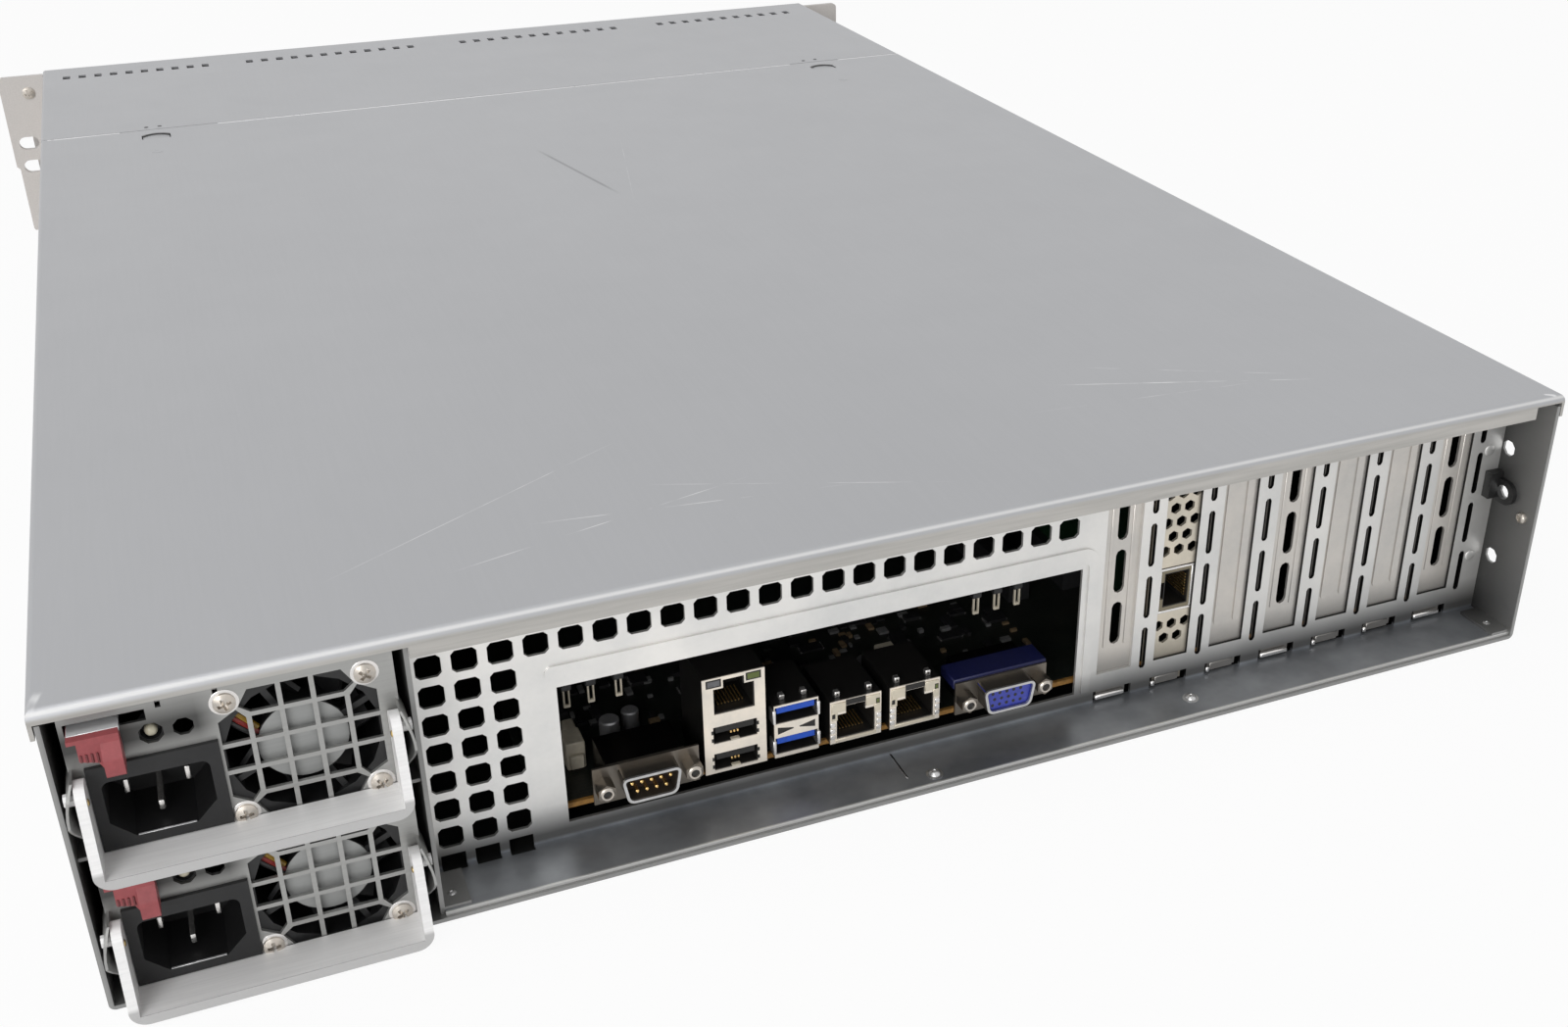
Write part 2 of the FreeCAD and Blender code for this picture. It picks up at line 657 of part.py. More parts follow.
def top_cover():
    start = SEAM_Y + SEAM_GAP / 2
    shell = cover_block(0.0, (start, REAR_Y)).cut(cover_block(COVER_SHEET, (start - 1, REAR_Y - COVER_SHEET)))
    lip_y = (REAR_Y - COVER_SHEET - 0.5, REAR_Y + 1)
    inside = COVER_X - COVER_SHEET
    panel_lip = block((-inside, DIVIDER_X), lip_y, (0, CHASSIS_HEIGHT - LIP_DROP_PANEL))
    psu_lip = block((DIVIDER_X, inside), lip_y, (0, CHASSIS_HEIGHT - LIP_DROP_PSU))
    end_notch = block((-inside, -COVER_X + LIP_INSET), lip_y, (0, CHASSIS_HEIGHT - COVER_BEND))
    latches = [crescent(side, 0.0, (COVER_UNDER_Z - 1, CHASSIS_HEIGHT + 1)) for side in (1, -1)]
    return cut(shell, [panel_lip, psu_lip, end_notch] + latches)


def cover_latch(side):
    """A leaf spring under the cover with a push pad in the cover's half-moon opening."""
    leaf_z = (COVER_UNDER_Z - COVER_GAP - LATCH_LEAF, COVER_UNDER_Z - COVER_GAP)
    leaf_y = (LATCH_ARC_Y + LATCH_PAD_GAP, LATCH_PIVOT_Y)
    leaf = block(around(side * LATCH_X, LATCH_ARC_WIDTH + 6), leaf_y, leaf_z)
    pad = crescent(side, LATCH_PAD_GAP, (leaf_z[1] - 0.1, CHASSIS_HEIGHT - 0.4))
    return fused([leaf, pad])


# ---------------------------------------------------------------- rear panel

def vent_holes():
    """The square vents: a block of columns beside the power supplies and one long row."""
    places = []
    for column in range(VENT_ROW_COUNT):
        rows = VENT_LEVEL_COUNT if column < VENT_BLOCK_COUNT else 1
        for row in range(rows):
            places.append((VENT_FIRST_X - column * VENT_PITCH_X, VENT_TOP_Z - row * VENT_PITCH_Z))
    return places


def slit_places():
    """The narrow slits between the slots."""
    columns = [slot_x(i + 1) - SLOT_PITCH / 2 for i in range(SLOT_COUNT)]
    rows = [SLIT_FIRST_Z + i * SLIT_PITCH_Z for i in range(SLIT_LEVEL_COUNT)]
    return [(x, z) for x in columns for z in rows]


def rear_panel():
    span = (PANEL_BACK_Y, PANEL_FACE_Y)
    outer = outline("XZ", box_points((-WALL_IN, DIVIDER_X), (TRAY_SHEET, PANEL_TOP_Z)), span[0])
    holes = []
    low_vents = []
    for x, z in vent_holes():
        height = (z - VENT_Z / 2, z + VENT_Z / 2)
        if height[0] < LIP_TOP_Z:
            low_vents.append(block(around(x, VENT_X), (PANEL_BACK_Y - 1, PANEL_FACE_Y + 2), (0, height[1])))
        else:
            holes.append(punched("XZ", around(x, VENT_X), height, VENT_ROUND, span[0]))
    io_x = (IO_LEFT_X - IO_WIDTH, IO_LEFT_X)
    io_z = (IO_BOTTOM_Z, IO_BOTTOM_Z + IO_HEIGHT)
    holes.append(outline("XZ", box_points(io_x, io_z), span[0]))
    for number in range(1, SLOT_COUNT + 1):
        opening = box_points(around(slot_x(number), SLOT_OPENING), (SLOT_BOTTOM_Z, SLOT_TOP_Z))
        holes.append(outline("XZ", opening, span[0]))
        foot = box_points(around(slot_x(number), FOOT_SLOT_WIDTH), FOOT_SLOT_Z)
        holes.append(outline("XZ", foot, span[0]))
    for place in slit_places():
        holes.append(round_ended("XZ", place, SLIT_WIDTH, SLIT_LENGTH, span[0], 3))
    face = slab("XZ", outer, holes, span)
    lip = block((-WALL_IN, DIVIDER_X), (PANEL_BACK_Y, PANEL_FACE_Y + FLOOR_LIP_DEPTH), (TRAY_SHEET, LIP_TOP_Z))
    ledge = block(
        (-WALL_IN, DIVIDER_X), (PANEL_BACK_Y, PANEL_FACE_Y + LEDGE_DEPTH),
        (PANEL_TOP_Z - PANEL_SHEET, PANEL_TOP_Z))
    rim_x = (io_x[0] - IO_RIM, IO_LEFT_X + IO_RIM_OVERRUN)
    rim_z = (io_z[1] + IO_RIM_GAP, io_z[1] + IO_RIM_GAP + IO_RIM)
    rim_y = (PANEL_FACE_Y, PANEL_FACE_Y + IO_RIM_RISE)
    rim = prism("XZ", [
        (rim_x[0], IO_BOTTOM_Z), (io_x[0] - IO_RIM_GAP, IO_BOTTOM_Z), (io_x[0] - IO_RIM_GAP, rim_z[0], 2),
        (rim_x[1], rim_z[0], IO_RIM_END), (rim_x[1], rim_z[1], IO_RIM_END), (rim_x[0], rim_z[1], 5)], rim_y)
    return cut(fused([face, lip, ledge, rim]), low_vents)


def bracket_outline(number):
    """The front view of a slot bracket: a plate with a narrow foot."""
    centre = slot_x(number)
    left, right = around(centre, BRACKET_WIDTH)
    foot_left, foot_right = around(centre, BRACKET_FOOT_WIDTH)
    shoulder = SLOT_BOTTOM_Z - 3
    return [
        (foot_left, BRACKET_FOOT_Z), (foot_right, BRACKET_FOOT_Z), (foot_right, shoulder - 2), (right, shoulder),
        (right, PANEL_TOP_Z), (left, PANEL_TOP_Z), (left, shoulder), (foot_left, shoulder - 2),
    ]


def bracket(number, holes):
    """A slot bracket behind its opening, with a tab over the panel's ledge."""
    span = (PANEL_BACK_Y - BRACKET_SHEET, PANEL_BACK_Y)
    plate = slab("XZ", outline("XZ", bracket_outline(number), span[0]), holes, span)
    tab = block(
        around(slot_x(number), BRACKET_WIDTH), (span[0], PANEL_FACE_Y + BRACKET_TAB),
        (PANEL_TOP_Z, PANEL_TOP_Z + BRACKET_SHEET))
    return fused([plate, tab])


def slot_cover_vented(number):
    back = PANEL_BACK_Y - BRACKET_SHEET
    holes = []
    for row in range(COVER_HOLE_COUNT):
        place = (slot_x(number), COVER_HOLE_FIRST_Z + row * SLIT_PITCH_Z)
        holes.append(round_ended("XZ", place, COVER_HOLE_WIDTH, SLIT_LENGTH, back))
    return bracket(number, holes)


def slot_cover_ribbed(number):
    ribs = []
    span = (PANEL_BACK_Y, PANEL_BACK_Y + RIB_RISE)
    for side in (-1, 1):
        place = (slot_x(number) + side * RIB_OFFSET, sum(RIB_Z) / 2)
        ribs.append(slab("XZ", round_ended("XZ", place, RIB_WIDTH, RIB_Z[1] - RIB_Z[0], span[0]), [], span))
    return fused([bracket(number, [])] + ribs)


def nic_hole_places():
    """Two staggered fields of round holes, above and below the jack."""
    places = []
    centre = slot_x(NETWORK_SLOT)
    fields = ((NIC_LOW_HOLES_Z, NIC_LOW_ROW_COUNT, 1), (NIC_HIGH_HOLES_Z, NIC_HIGH_ROW_COUNT, 0))
    for first, count, first_wide in fields:
        for row in range(count):
            wide = row % 2 == first_wide
            offsets = (-1, 0, 1) if wide else (-0.5, 0.5)
            places += [(centre + o * NIC_HOLE_PITCH, first + row * NIC_ROW_PITCH) for o in offsets]
    return places


def nic_bracket():
    back = PANEL_BACK_Y - BRACKET_SHEET
    holes = [near_round("XZ", place, NIC_HOLE, back, 6) for place in nic_hole_places()]
    jack = box_points(around(slot_x(NETWORK_SLOT), NIC_JACK_WIDTH), NIC_JACK_Z)
    holes.append(outline("XZ", jack, back))
    return bracket(NETWORK_SLOT, holes)


def nic_card():
    """The card behind the network bracket: an upright board with its jack."""
    centre = slot_x(NETWORK_SLOT)
    rear = PANEL_BACK_Y - BRACKET_SHEET
    jack_x = around(centre, NIC_JACK_WIDTH - 0.4)
    jack_z = (NIC_JACK_Z[0] + 0.2, NIC_JACK_Z[1] - 0.2)
    board_x = (jack_x[1], jack_x[1] + BOARD_SHEET)
    board = block(
        board_x, (rear - NIC_BOARD_LENGTH, rear - 0.5), (BOARD_TOP_Z + SOCKET_HEIGHT, NIC_BOARD_TOP_Z))
    jack = block(jack_x, (rear - NIC_JACK_DEPTH, PANEL_BACK_Y), jack_z)
    mouth = block(
        (jack_x[0] + 1.2, jack_x[1] - 2.0), (rear - RJ45_DEPTH, PANEL_BACK_Y + 1), around(sum(jack_z) / 2, RJ45_WIDTH))
    notch = block(
        (jack_x[1] - 2.1, jack_x[1] - 0.6), (rear - RJ45_DEPTH, PANEL_BACK_Y + 1), around(sum(jack_z) / 2, 6.0))
    return fused([board, cut(jack, [mouth, notch])])


# ---------------------------------------------------------------- boards and what stands on them

def motherboard():
    x = (BOARD_LEFT_X - BOARD_WIDTH, BOARD_LEFT_X)
    y = (BOARD_REAR_Y - BOARD_DEPTH, BOARD_REAR_Y)
    return block(x, y, (BOARD_BOTTOM_Z, BOARD_TOP_Z))


def heatsink(centre):
    x = around(centre, HEATSINK_SIZE)
    y = around(PROCESSOR_Y, HEATSINK_SIZE)
    top = BOARD_TOP_Z + HEATSINK_HEIGHT
    base = block(x, y, (BOARD_TOP_Z, BOARD_TOP_Z + HEATSINK_BASE))
    pieces = [base]
    step = (HEATSINK_SIZE - HEATSINK_FIN) / (HEATSINK_FIN_COUNT - 1)
    for i in range(HEATSINK_FIN_COUNT):
        left = x[0] + i * step
        pieces.append(block((left, left + HEATSINK_FIN), y, (BOARD_TOP_Z + HEATSINK_BASE, top)))
    return fused(pieces)


def memory_module(x):
    """A memory stick in its socket, the two seen as one stepped piece."""
    y = around(PROCESSOR_Y, MEMORY_LENGTH)
    socket = block(around(x, MEMORY_SOCKET), (y[0] - 4, y[1] + 4), (BOARD_TOP_Z, BOARD_TOP_Z + MEMORY_SOCKET))
    low = BOARD_TOP_Z + MEMORY_SOCKET
    stick = block(around(x, MEMORY_STICK), y, (low, low + MEMORY_HEIGHT))
    return fused([socket, stick])


def memory_modules():
    return [memory_module(x + i * MEMORY_PITCH) for x in MEMORY_GROUP_X for i in range(MEMORY_GROUP_COUNT)]


def expansion_socket(number):
    jack_right = slot_x(number) + (NIC_JACK_WIDTH - 0.4) / 2
    x = around(jack_right + BOARD_SHEET / 2, SOCKET_WIDTH)
    y = (SOCKET_REAR_Y - SOCKET_LENGTH, SOCKET_REAR_Y)
    return block(x, y, (BOARD_TOP_Z, BOARD_TOP_Z + SOCKET_HEIGHT))


# ---------------------------------------------------------------- rear ports

def dsub_section(centre, width, height):
    """The D outline of a nine or fifteen way connector."""
    slope = height * 0.18
    left, right = around(centre[0], width)
    low, high = around(centre[1], height)
    return [(left + slope, low, 1.6), (right - slope, low, 1.6), (right, high, 1.6), (left, high, 1.6)]


def dsub_port(x, z):
    """A flanged D connector with its two lock nuts."""
    centre = (sum(x) / 2, sum(z) / 2 + 0.4)
    flange = block(x, (PORT_FACE_Y, PORT_FACE_Y + DSUB_FLANGE), z)
    body = block((x[0] + 4, x[1] - 4), (PORT_FACE_Y - DSUB_BODY_DEPTH, PORT_FACE_Y), z)
    reach = (PORT_FACE_Y, PORT_FACE_Y + DSUB_FLANGE + DSUB_SHELL_REACH)
    shell = prism("XZ", dsub_section(centre, DSUB_SHELL_WIDTH, DSUB_SHELL_HEIGHT), reach)
    bore = dsub_section(centre, DSUB_SHELL_WIDTH - 2 * SHELL_WALL, DSUB_SHELL_HEIGHT - 2 * SHELL_WALL)
    bore = [(u, v) for u, v, radius in bore]
    hollow = prism("XZ", bore, (PORT_FACE_Y, reach[1] + 1))
    pieces = [flange, body, shell]
    for side in (-1, 1):
        nut = (centre[0] + side * DSUB_NUT_SPACING / 2, centre[1])
        nut_y = (PORT_FACE_Y + DSUB_FLANGE, PORT_FACE_Y + DSUB_FLANGE + DSUB_NUT_REACH)
        pieces.append(hexagon("XZ", nut, DSUB_NUT_FLATS, nut_y))
    return cut(fused(pieces), [hollow])


def rj45_mouth(x, low):
    """The hollow of a network jack: the plug's room and the latch notch over it."""
    y = (PORT_FACE_Y - RJ45_DEPTH, PORT_FACE_Y + 1)
    shoulder = low + RJ45_HEIGHT
    main = block(around(x, RJ45_WIDTH), y, (low, shoulder))
    notch = block(around(x, RJ45_NOTCH_WIDTH), y, (shoulder - 0.1, shoulder + RJ45_NOTCH))
    return fused([main, notch])


def usb_mouth(x, low):
    """The hollow of one USB port, with its tongue left standing."""
    y = (PORT_FACE_Y - USB_DEPTH, PORT_FACE_Y + 1)
    room = block(around(x, USB_WIDTH), y, (low, low + USB_HEIGHT))
    tongue_z = (low + USB_HEIGHT - 2.4, low + USB_HEIGHT - 0.6)
    tongue = block(around(x, USB_WIDTH - 1.6), (y[0] - 1, PORT_FACE_Y - 0.8), tongue_z)
    return cut(room, [tongue])


def port_block(x, z):
    return block(x, (PORT_FACE_Y - PORT_DEPTH, PORT_FACE_Y), z)


def lan_usb_stack():
    centre = sum(LAN_USB_X) / 2
    hollows = [rj45_mouth(centre, STACK_JACK_LOW_Z)] + [usb_mouth(centre, low) for low in STACK_USB_LOW_Z]
    return cut(port_block(LAN_USB_X, LAN_USB_Z), hollows)


def usb3_stack():
    centre = sum(USB3_X) / 2
    return cut(port_block(USB3_X, USB3_Z), [usb_mouth(centre, low) for low in USB3_LOW_Z])


def lan_jack(x):
    return cut(port_block(x, LAN_JACKS_Z), [rj45_mouth(sum(x) / 2, LAN_JACK_LOW_Z)])


# ---------------------------------------------------------------- power supplies

def psu_bay():
    """The divider wall beside the power supplies and the shelf between the two."""
    y = (PSU_FRONT_Y - BAY_OVERRUN, PSU_FACE_Y)
    shelf_top = PSU_BASE_Z[0] - BAY_SHELF_GAP
    shelf_low = PSU_BASE_Z[1] + PSU_HEIGHT + BAY_SHELF_GAP
    wall = block((DIVIDER_X, BAY_X), y, (TRAY_SHEET, WALL_TOP_Z))
    shelf = block((BAY_X, WALL_IN), (y[0], PSU_FACE_Y - 3), (shelf_low, shelf_top))
    stop_top = PSU_BASE_Z[0] + PSU_HEIGHT
    stop = block((BAY_X, WALL_IN), (y[0], y[0] + TRAY_SHEET), (TRAY_SHEET, stop_top))
    ports = [
        block((BAY_X + 15, WALL_IN - 15), (y[0] - 1, y[0] + 3), (base + 8, base + PSU_HEIGHT - 8))
        for base in PSU_BASE_Z
    ]
    return fused([wall, shelf, cut(stop, ports), foot_tab(DIVIDER_X, -1, PSU_FACE_Y)])


def grille_cell(column, row, centre):
    """One opening of the fan guard, with a point towards the screw where a screw is next to it."""
    size = (GRILLE_PITCH - GRILLE_BAR) / 2
    u = centre[0] + column * GRILLE_PITCH
    v = centre[1] + row * GRILLE_PITCH
    corners = []
    for a, b in ((-1, -1), (1, -1), (1, 1), (-1, 1)):
        corners.append((u + a * size, v + b * size))
    inward_v = v - math.copysign(size * 0.35, row)
    inward_u = u - math.copysign(size * 0.35, column)
    if abs(column) == 1 and abs(row) == 2:
        tip = (u + column * (size + GRILLE_POINT), inward_v)
        corners.insert(2 if column > 0 else 4, tip)
    if abs(column) == 2 and abs(row) == 1:
        tip = (inward_u, v + row * (size + GRILLE_POINT))
        corners.insert(3 if row > 0 else 1, tip)
    return corners


def psu_face(base):
    """The rear face of a power supply, with its guard grille and all its openings."""
    span = (PSU_FACE_Y - PSU_SHEET, PSU_FACE_Y)
    centre = (FAN_X, base + FAN_CENTRE_UP)
    outer = outline("XZ", box_points(PSU_X, (base, base + PSU_HEIGHT)), span[0])
    holes = []
    for column in range(-2, 3):
        for row in range(-2, 3):
            if abs(column) + abs(row) < 4:
                holes.append(outline("XZ", grille_cell(column, row, centre), span[0]))
    inlet = box_points((INLET_X[0] + 1.5, INLET_X[1] - 1.5), (base + INLET_UP[0] + 1.5, base + INLET_UP[1] - 1.5))
    holes.append(outline("XZ", inlet, span[0]))
    holes.append(near_round("XZ", (LED_X, base + INDICATOR_UP), LED_HOLE, span[0]))
    holes.append(near_round("XZ", (POKE_X, base + INDICATOR_UP), POKE_HOLE, span[0]))
    slot = box_points(RELEASE_SLOT_X, (base + RELEASE_SLOT_UP[0], base + RELEASE_SLOT_UP[1]))
    holes.append(outline("XZ", slot, span[0]))
    top = base + PSU_HEIGHT
    notches = [
        block(around(PSU_X[1] - inset, PSU_NOTCH_WIDTH), (span[0] - 1, span[1] + 1), (top - PSU_NOTCH_DEPTH, top + 1))
        for inset in PSU_NOTCH_INSETS
    ]
    return cut(slab("XZ", outer, holes, span), notches)


def pivot_ear(side, base):
    """A thin bowed ear outside a handle leg, which carries the handle's pivot pin."""
    wall = PSU_X[1] if side > 0 else PSU_X[0]
    foot = wall - side * EAR_SHEET / 2
    low = base + HANDLE_PIVOT_UP - EAR_BELOW_PIVOT
    high = base + HANDLE_PIVOT_UP + EAR_ABOVE_PIVOT
    middle = (low + high) / 2
    y = (PSU_FACE_Y - EAR_ROOT, PSU_FACE_Y + EAR_REACH)
    outer_crown = wall + side * EAR_BOW
    inner_crown = outer_crown - side * EAR_SHEET
    inner_foot = foot - side * EAR_SHEET
    corners = [spot("XZ", a, b, y[0]) for a, b in ((foot, low), (foot, high), (inner_foot, high), (inner_foot, low))]
    edges = [
        Part.Arc(corners[0], spot("XZ", outer_crown, middle, y[0]), corners[1]).toShape(),
        Part.LineSegment(corners[1], corners[2]).toShape(),
        Part.Arc(corners[2], spot("XZ", inner_crown, middle, y[0]), corners[3]).toShape(),
        Part.LineSegment(corners[3], corners[0]).toShape(),
    ]
    band = slab("XZ", Part.Wire(edges), [], y)
    reach = PSU_FACE_Y + EAR_REACH
    side_view = prism("YZ", [
        (y[0], low), (PSU_FACE_Y, low), (reach, middle), (reach, high - 3), (reach - 3, high), (y[0], high)],
        (min(wall, outer_crown) - 4, max(wall, outer_crown) + 4))
    pivot = (PSU_FACE_Y + COVER_GAP + HANDLE_TIP, base + HANDLE_PIVOT_UP)
    hole = near_rod("YZ", pivot, PIVOT_PIN + PIVOT_PLAY, (wall - 6, wall + 6))
    return cut(band.common(side_view), [hole])


def psu_case(base):
    y = (PSU_FRONT_Y, PSU_FACE_Y - PSU_SHEET)
    z = (base, base + PSU_HEIGHT)
    tube = slab("XZ", outline("XZ", box_points(PSU_X, z), y[0]), [outline("XZ", box_points(
        (PSU_X[0] + PSU_SHEET, PSU_X[1] - PSU_SHEET), (z[0] + PSU_SHEET, z[1] - PSU_SHEET)), y[0])], y)
    front = block(PSU_X, (PSU_FRONT_Y - PSU_SHEET, PSU_FRONT_Y), z)
    window = block(
        (PSU_X[1] - PSU_SHEET - 1, PSU_X[1] + 1), (RELEASE_BARB_Y[0] - 2, RELEASE_BARB_Y[1] + 2),
        (base + RELEASE_UP[0] + 1, base + RELEASE_STRIP_UP - 1))
    ears = [pivot_ear(1, base), pivot_ear(-1, base)]
    return fused([cut(fused([tube, front, psu_face(base)]), [window])] + ears)


def psu_inlet(base):
    """The black mains inlet: a bezel proud of the face, a body and the plug's hollow."""
    z = (base + INLET_UP[0], base + INLET_UP[1])
    bezel = block(INLET_X, (PSU_FACE_Y, PSU_FACE_Y + INLET_PROUD), z)
    body = block(
        (INLET_X[0] + 1.7, INLET_X[1] - 1.7), (PSU_FACE_Y - INLET_DEPTH, PSU_FACE_Y), (z[0] + 1.7, z[1] - 1.7))
    mouth_z = (base + INLET_MOUTH_UP[0], base + INLET_MOUTH_UP[1])
    left, right = INLET_MOUTH_X
    bevel = INLET_MOUTH_CHAMFER
    section = [
        (left + bevel, mouth_z[0]), (right - bevel, mouth_z[0]), (right, mouth_z[0] + bevel),
        (right, mouth_z[1], 2.0), (left, mouth_z[1], 2.0), (left, mouth_z[0] + bevel),
    ]
    hollow = prism("XZ", section, (PSU_FACE_Y - INLET_CAVITY, PSU_FACE_Y + INLET_PROUD + 1))
    return cut(fused([bezel, body]), [hollow])


def psu_fan_frame(base):
    """A square fan frame with a round bore, and the motor base that faces the guard."""
    centre = (FAN_X, base + FAN_CENTRE_UP)
    rear = PSU_FACE_Y - PSU_SHEET
    y = (rear - PSU_FAN_DEPTH, rear)
    square = outline("XZ", box_points(around(centre[0], PSU_FAN), around(centre[1], PSU_FAN)), y[0])
    frame = slab("XZ", square, [near_round("XZ", centre, PSU_FAN_BORE, y[0], 16)], y)
    base_y = (rear - 3.0, rear - 1.2)
    disc = near_rod("XZ", centre, PSU_FAN_HUB, base_y, 16)
    spokes = []
    for turn in (25, 115, 205, 295):
        spoke = block(
            (centre[0], centre[0] + PSU_FAN_BORE + 0.5), base_y, around(centre[1], 1.6))
        spoke.rotate(spot("XZ", centre[0], centre[1], 0), NORMALS["XZ"], turn)
        spokes.append(spoke)
    return fused([frame, disc] + spokes)


def fan_rotor(centre, hub, tip, y, blades):
    """A hub with tilted flat blades that end just inside the fan's bore."""
    pieces = [near_rod("XZ", centre, hub, y, 12)]
    depth = (y[1] - y[0]) * 0.9
    middle = (y[0] + y[1]) / 2
    tilt = math.radians(BLADE_TILT)
    chord = depth / math.cos(tilt)
    swing = chord / 2 * math.sin(tilt) + BLADE_SHEET
    reach = math.sqrt(tip * tip - swing * swing)
    for i in range(blades):
        blade = block((centre[0] + hub - 2, centre[0] + reach), around(middle, chord), around(centre[1], BLADE_SHEET))
        blade.rotate(spot("XZ", centre[0], centre[1], middle), NORMALS["YZ"], BLADE_TILT)
        blade.rotate(spot("XZ", centre[0], centre[1], middle), NORMALS["XZ"], 360.0 * i / blades)
        pieces.append(blade)
    return fused(pieces)


def psu_fan_rotor(base):
    rear = PSU_FACE_Y - PSU_SHEET
    y = (rear - PSU_FAN_DEPTH + 2, rear - 3.5)
    return fan_rotor((FAN_X, base + FAN_CENTRE_UP), PSU_FAN_HUB - 0.4, PSU_FAN_BORE - 0.8, y, 7)


def psu_handle(base):
    """The bail: a strip bent into a U, its legs tapering up to round pivot ends."""
    outer = (PSU_X[0] + HANDLE_SIDE_GAP, PSU_X[1] - HANDLE_SIDE_GAP)
    low = base - HANDLE_BASE_DROP
    back = PSU_FACE_Y + COVER_GAP
    front = back + HANDLE_DEPTH
    pivot = (back + HANDLE_TIP, base + HANDLE_PIVOT_UP)
    top = pivot[1] + HANDLE_TIP
    inner = (outer[0] + HANDLE_STRIP, outer[1] - HANDLE_STRIP)
    strip = prism("XZ", [
        (outer[0], low, HANDLE_CORNER), (outer[1], low, HANDLE_CORNER), (outer[1], top), (inner[1], top),
        (inner[1], low + HANDLE_BAR), (inner[0], low + HANDLE_BAR), (inner[0], top), (outer[0], top)],
        (back, front))
    profile = prism("YZ", [
        (back, low), (front, low), (front, low + HANDLE_BAR + 1, 6), (pivot[0] + HANDLE_TIP, pivot[1]),
        (pivot[0] + HANDLE_TIP - 0.6, top, 3.6), (back, top, 4.0)],
        (outer[0] - 1, outer[1] + 1))
    pins = [
        near_rod("YZ", pivot, PIVOT_PIN, (outer[1] - 0.5, PSU_X[1] + EAR_BOW - 0.1)),
        near_rod("YZ", pivot, PIVOT_PIN, (PSU_X[0] - EAR_BOW + 0.1, outer[0] + 0.5)),
    ]
    return fused([strip.common(profile)] + pins)


def psu_latch(base):
    """The release latch: a finger tab, the strip it hangs from, and the leaf with its barb."""
    back = PSU_FACE_Y + 1.3
    reach = back + RELEASE_REACH
    z = (base + RELEASE_UP[0], base + RELEASE_UP[1])
    left, right = RELEASE_X
    tab_z = (z[0] + 3.6, base + RELEASE_STRIP_UP)
    tab = prism("XZ", [
        (left, z[0] + 1.6, 0.8), (left + 4.0, z[0] + 1.0, 0.8), (left + 5.2, tab_z[0]), (right, tab_z[0] + 1.2),
        (right, tab_z[1]), (left, tab_z[1])], (back, reach - 2.2))
    nub = prism("YZ", [
        (back, z[0]), (reach, z[0], 1.2), (reach, z[0] + 5.0, 2.5), (reach - 2.2, z[0] + 8.5), (back, z[0] + 8.5)],
        (left, left + 4.2))
    strip = block(
        (left, RELEASE_LEAF_X[1]), (RELEASE_PIVOT_Y + RELEASE_STRIP_ROOT, reach - 2.2),
        (base + RELEASE_STRIP_UP, base + RELEASE_STRIP_UP + RELEASE_STRIP))
    leaf = block(
        RELEASE_LEAF_X, (RELEASE_PIVOT_Y - 4, PSU_FACE_Y - PSU_SHEET - 0.6),
        (z[0] + 2, base + RELEASE_STRIP_UP + RELEASE_STRIP))
    outside = PSU_X[1] + RELEASE_BARB_OUT
    barb = prism("XY", [
        (RELEASE_LEAF_X[1], RELEASE_BARB_Y[0]), (outside, RELEASE_BARB_Y[1] - 1), (outside, RELEASE_BARB_Y[1]),
        (RELEASE_LEAF_X[1], RELEASE_BARB_Y[1])], (z[0] + 3.5, base + RELEASE_STRIP_UP - 2.5))
    return fused([tab, nub, strip, leaf, barb])


# ---------------------------------------------------------------- front end

def rack_ear(side):
    """An angle bracket: the flange that meets the rack and the leg along the tray's wall."""
    def outer_points():
        edge = side * EAR_OUTER_X
        step = side * (EAR_OUTER_X - EAR_STEP)
        root = side * WALL_OUT
        return [
            (root, EAR_Z[0]), (step, EAR_Z[0], 1.5), (step, EAR_STEP_Z), (edge, EAR_STEP_Z + EAR_STEP),
            (edge, EAR_Z[1], 2.5), (root, EAR_Z[1]),
        ]
    span = (-EAR_THICK, 0.0)
    holes = []
    for step in (-0.5, 0.5):
        z = RACK_HOLE_MIDDLE_Z + step * RACK_HOLE_PITCH
        place = (side * RACK_HOLE_X, z)
        holes.append(bolt_slot("XZ", place, RACK_HOLE_LENGTH, 2 * RACK_HOLE_R, span[0]))
    flange = slab("XZ", outline("XZ", outer_points(), span[0]), holes, span)
    leg_x = sorted((side * WALL_OUT, side * (WALL_OUT + EAR_LEG_SHEET)))
    leg = block(leg_x, (-EAR_THICK, EAR_LEG), (EAR_Z[0] + 6, SKIRT_Z - 1))
    top_room = block(
        sorted((side * (WALL_OUT - 1), side * (COVER_X + COVER_GAP))), (-EAR_THICK - 1, 1),
        (SKIRT_Z - 0.5, CHASSIS_HEIGHT + 2))
    return cut(fused([flange, leg]), [top_room])


def pull_handle(side):
    """A flat bow for pulling the server out, standing on the front of an ear."""
    out = -EAR_THICK - PULL_REACH
    low, high = PULL_Z
    foot = PULL_BAR / 2
    section = [
        (-EAR_THICK, low - foot), (-EAR_THICK, low + foot), (out + PULL_BAR, low + foot, PULL_BEND - PULL_BAR),
        (out + PULL_BAR, high - foot, PULL_BEND - PULL_BAR), (-EAR_THICK, high - foot), (-EAR_THICK, high + foot),
        (out, high + foot, PULL_BEND), (out, low - foot, PULL_BEND),
    ]
    return prism("YZ", section, around(side * PULL_X, PULL_WIDTH))


def bay_column(column):
    """The (low, high) X of a drive bay, between the partitions."""
    left = -WALL_IN + column * COLUMN_PITCH + (TRAY_SHEET / 2 if column else 0)
    right = -WALL_IN + (column + 1) * COLUMN_PITCH - (TRAY_SHEET / 2 if column < BAY_COLUMN_COUNT - 1 else 0)
    return (left, right)


def bay_floor(row):
    """The Z of a drive bay's floor."""
    return TRAY_SHEET + row * ROW_PITCH


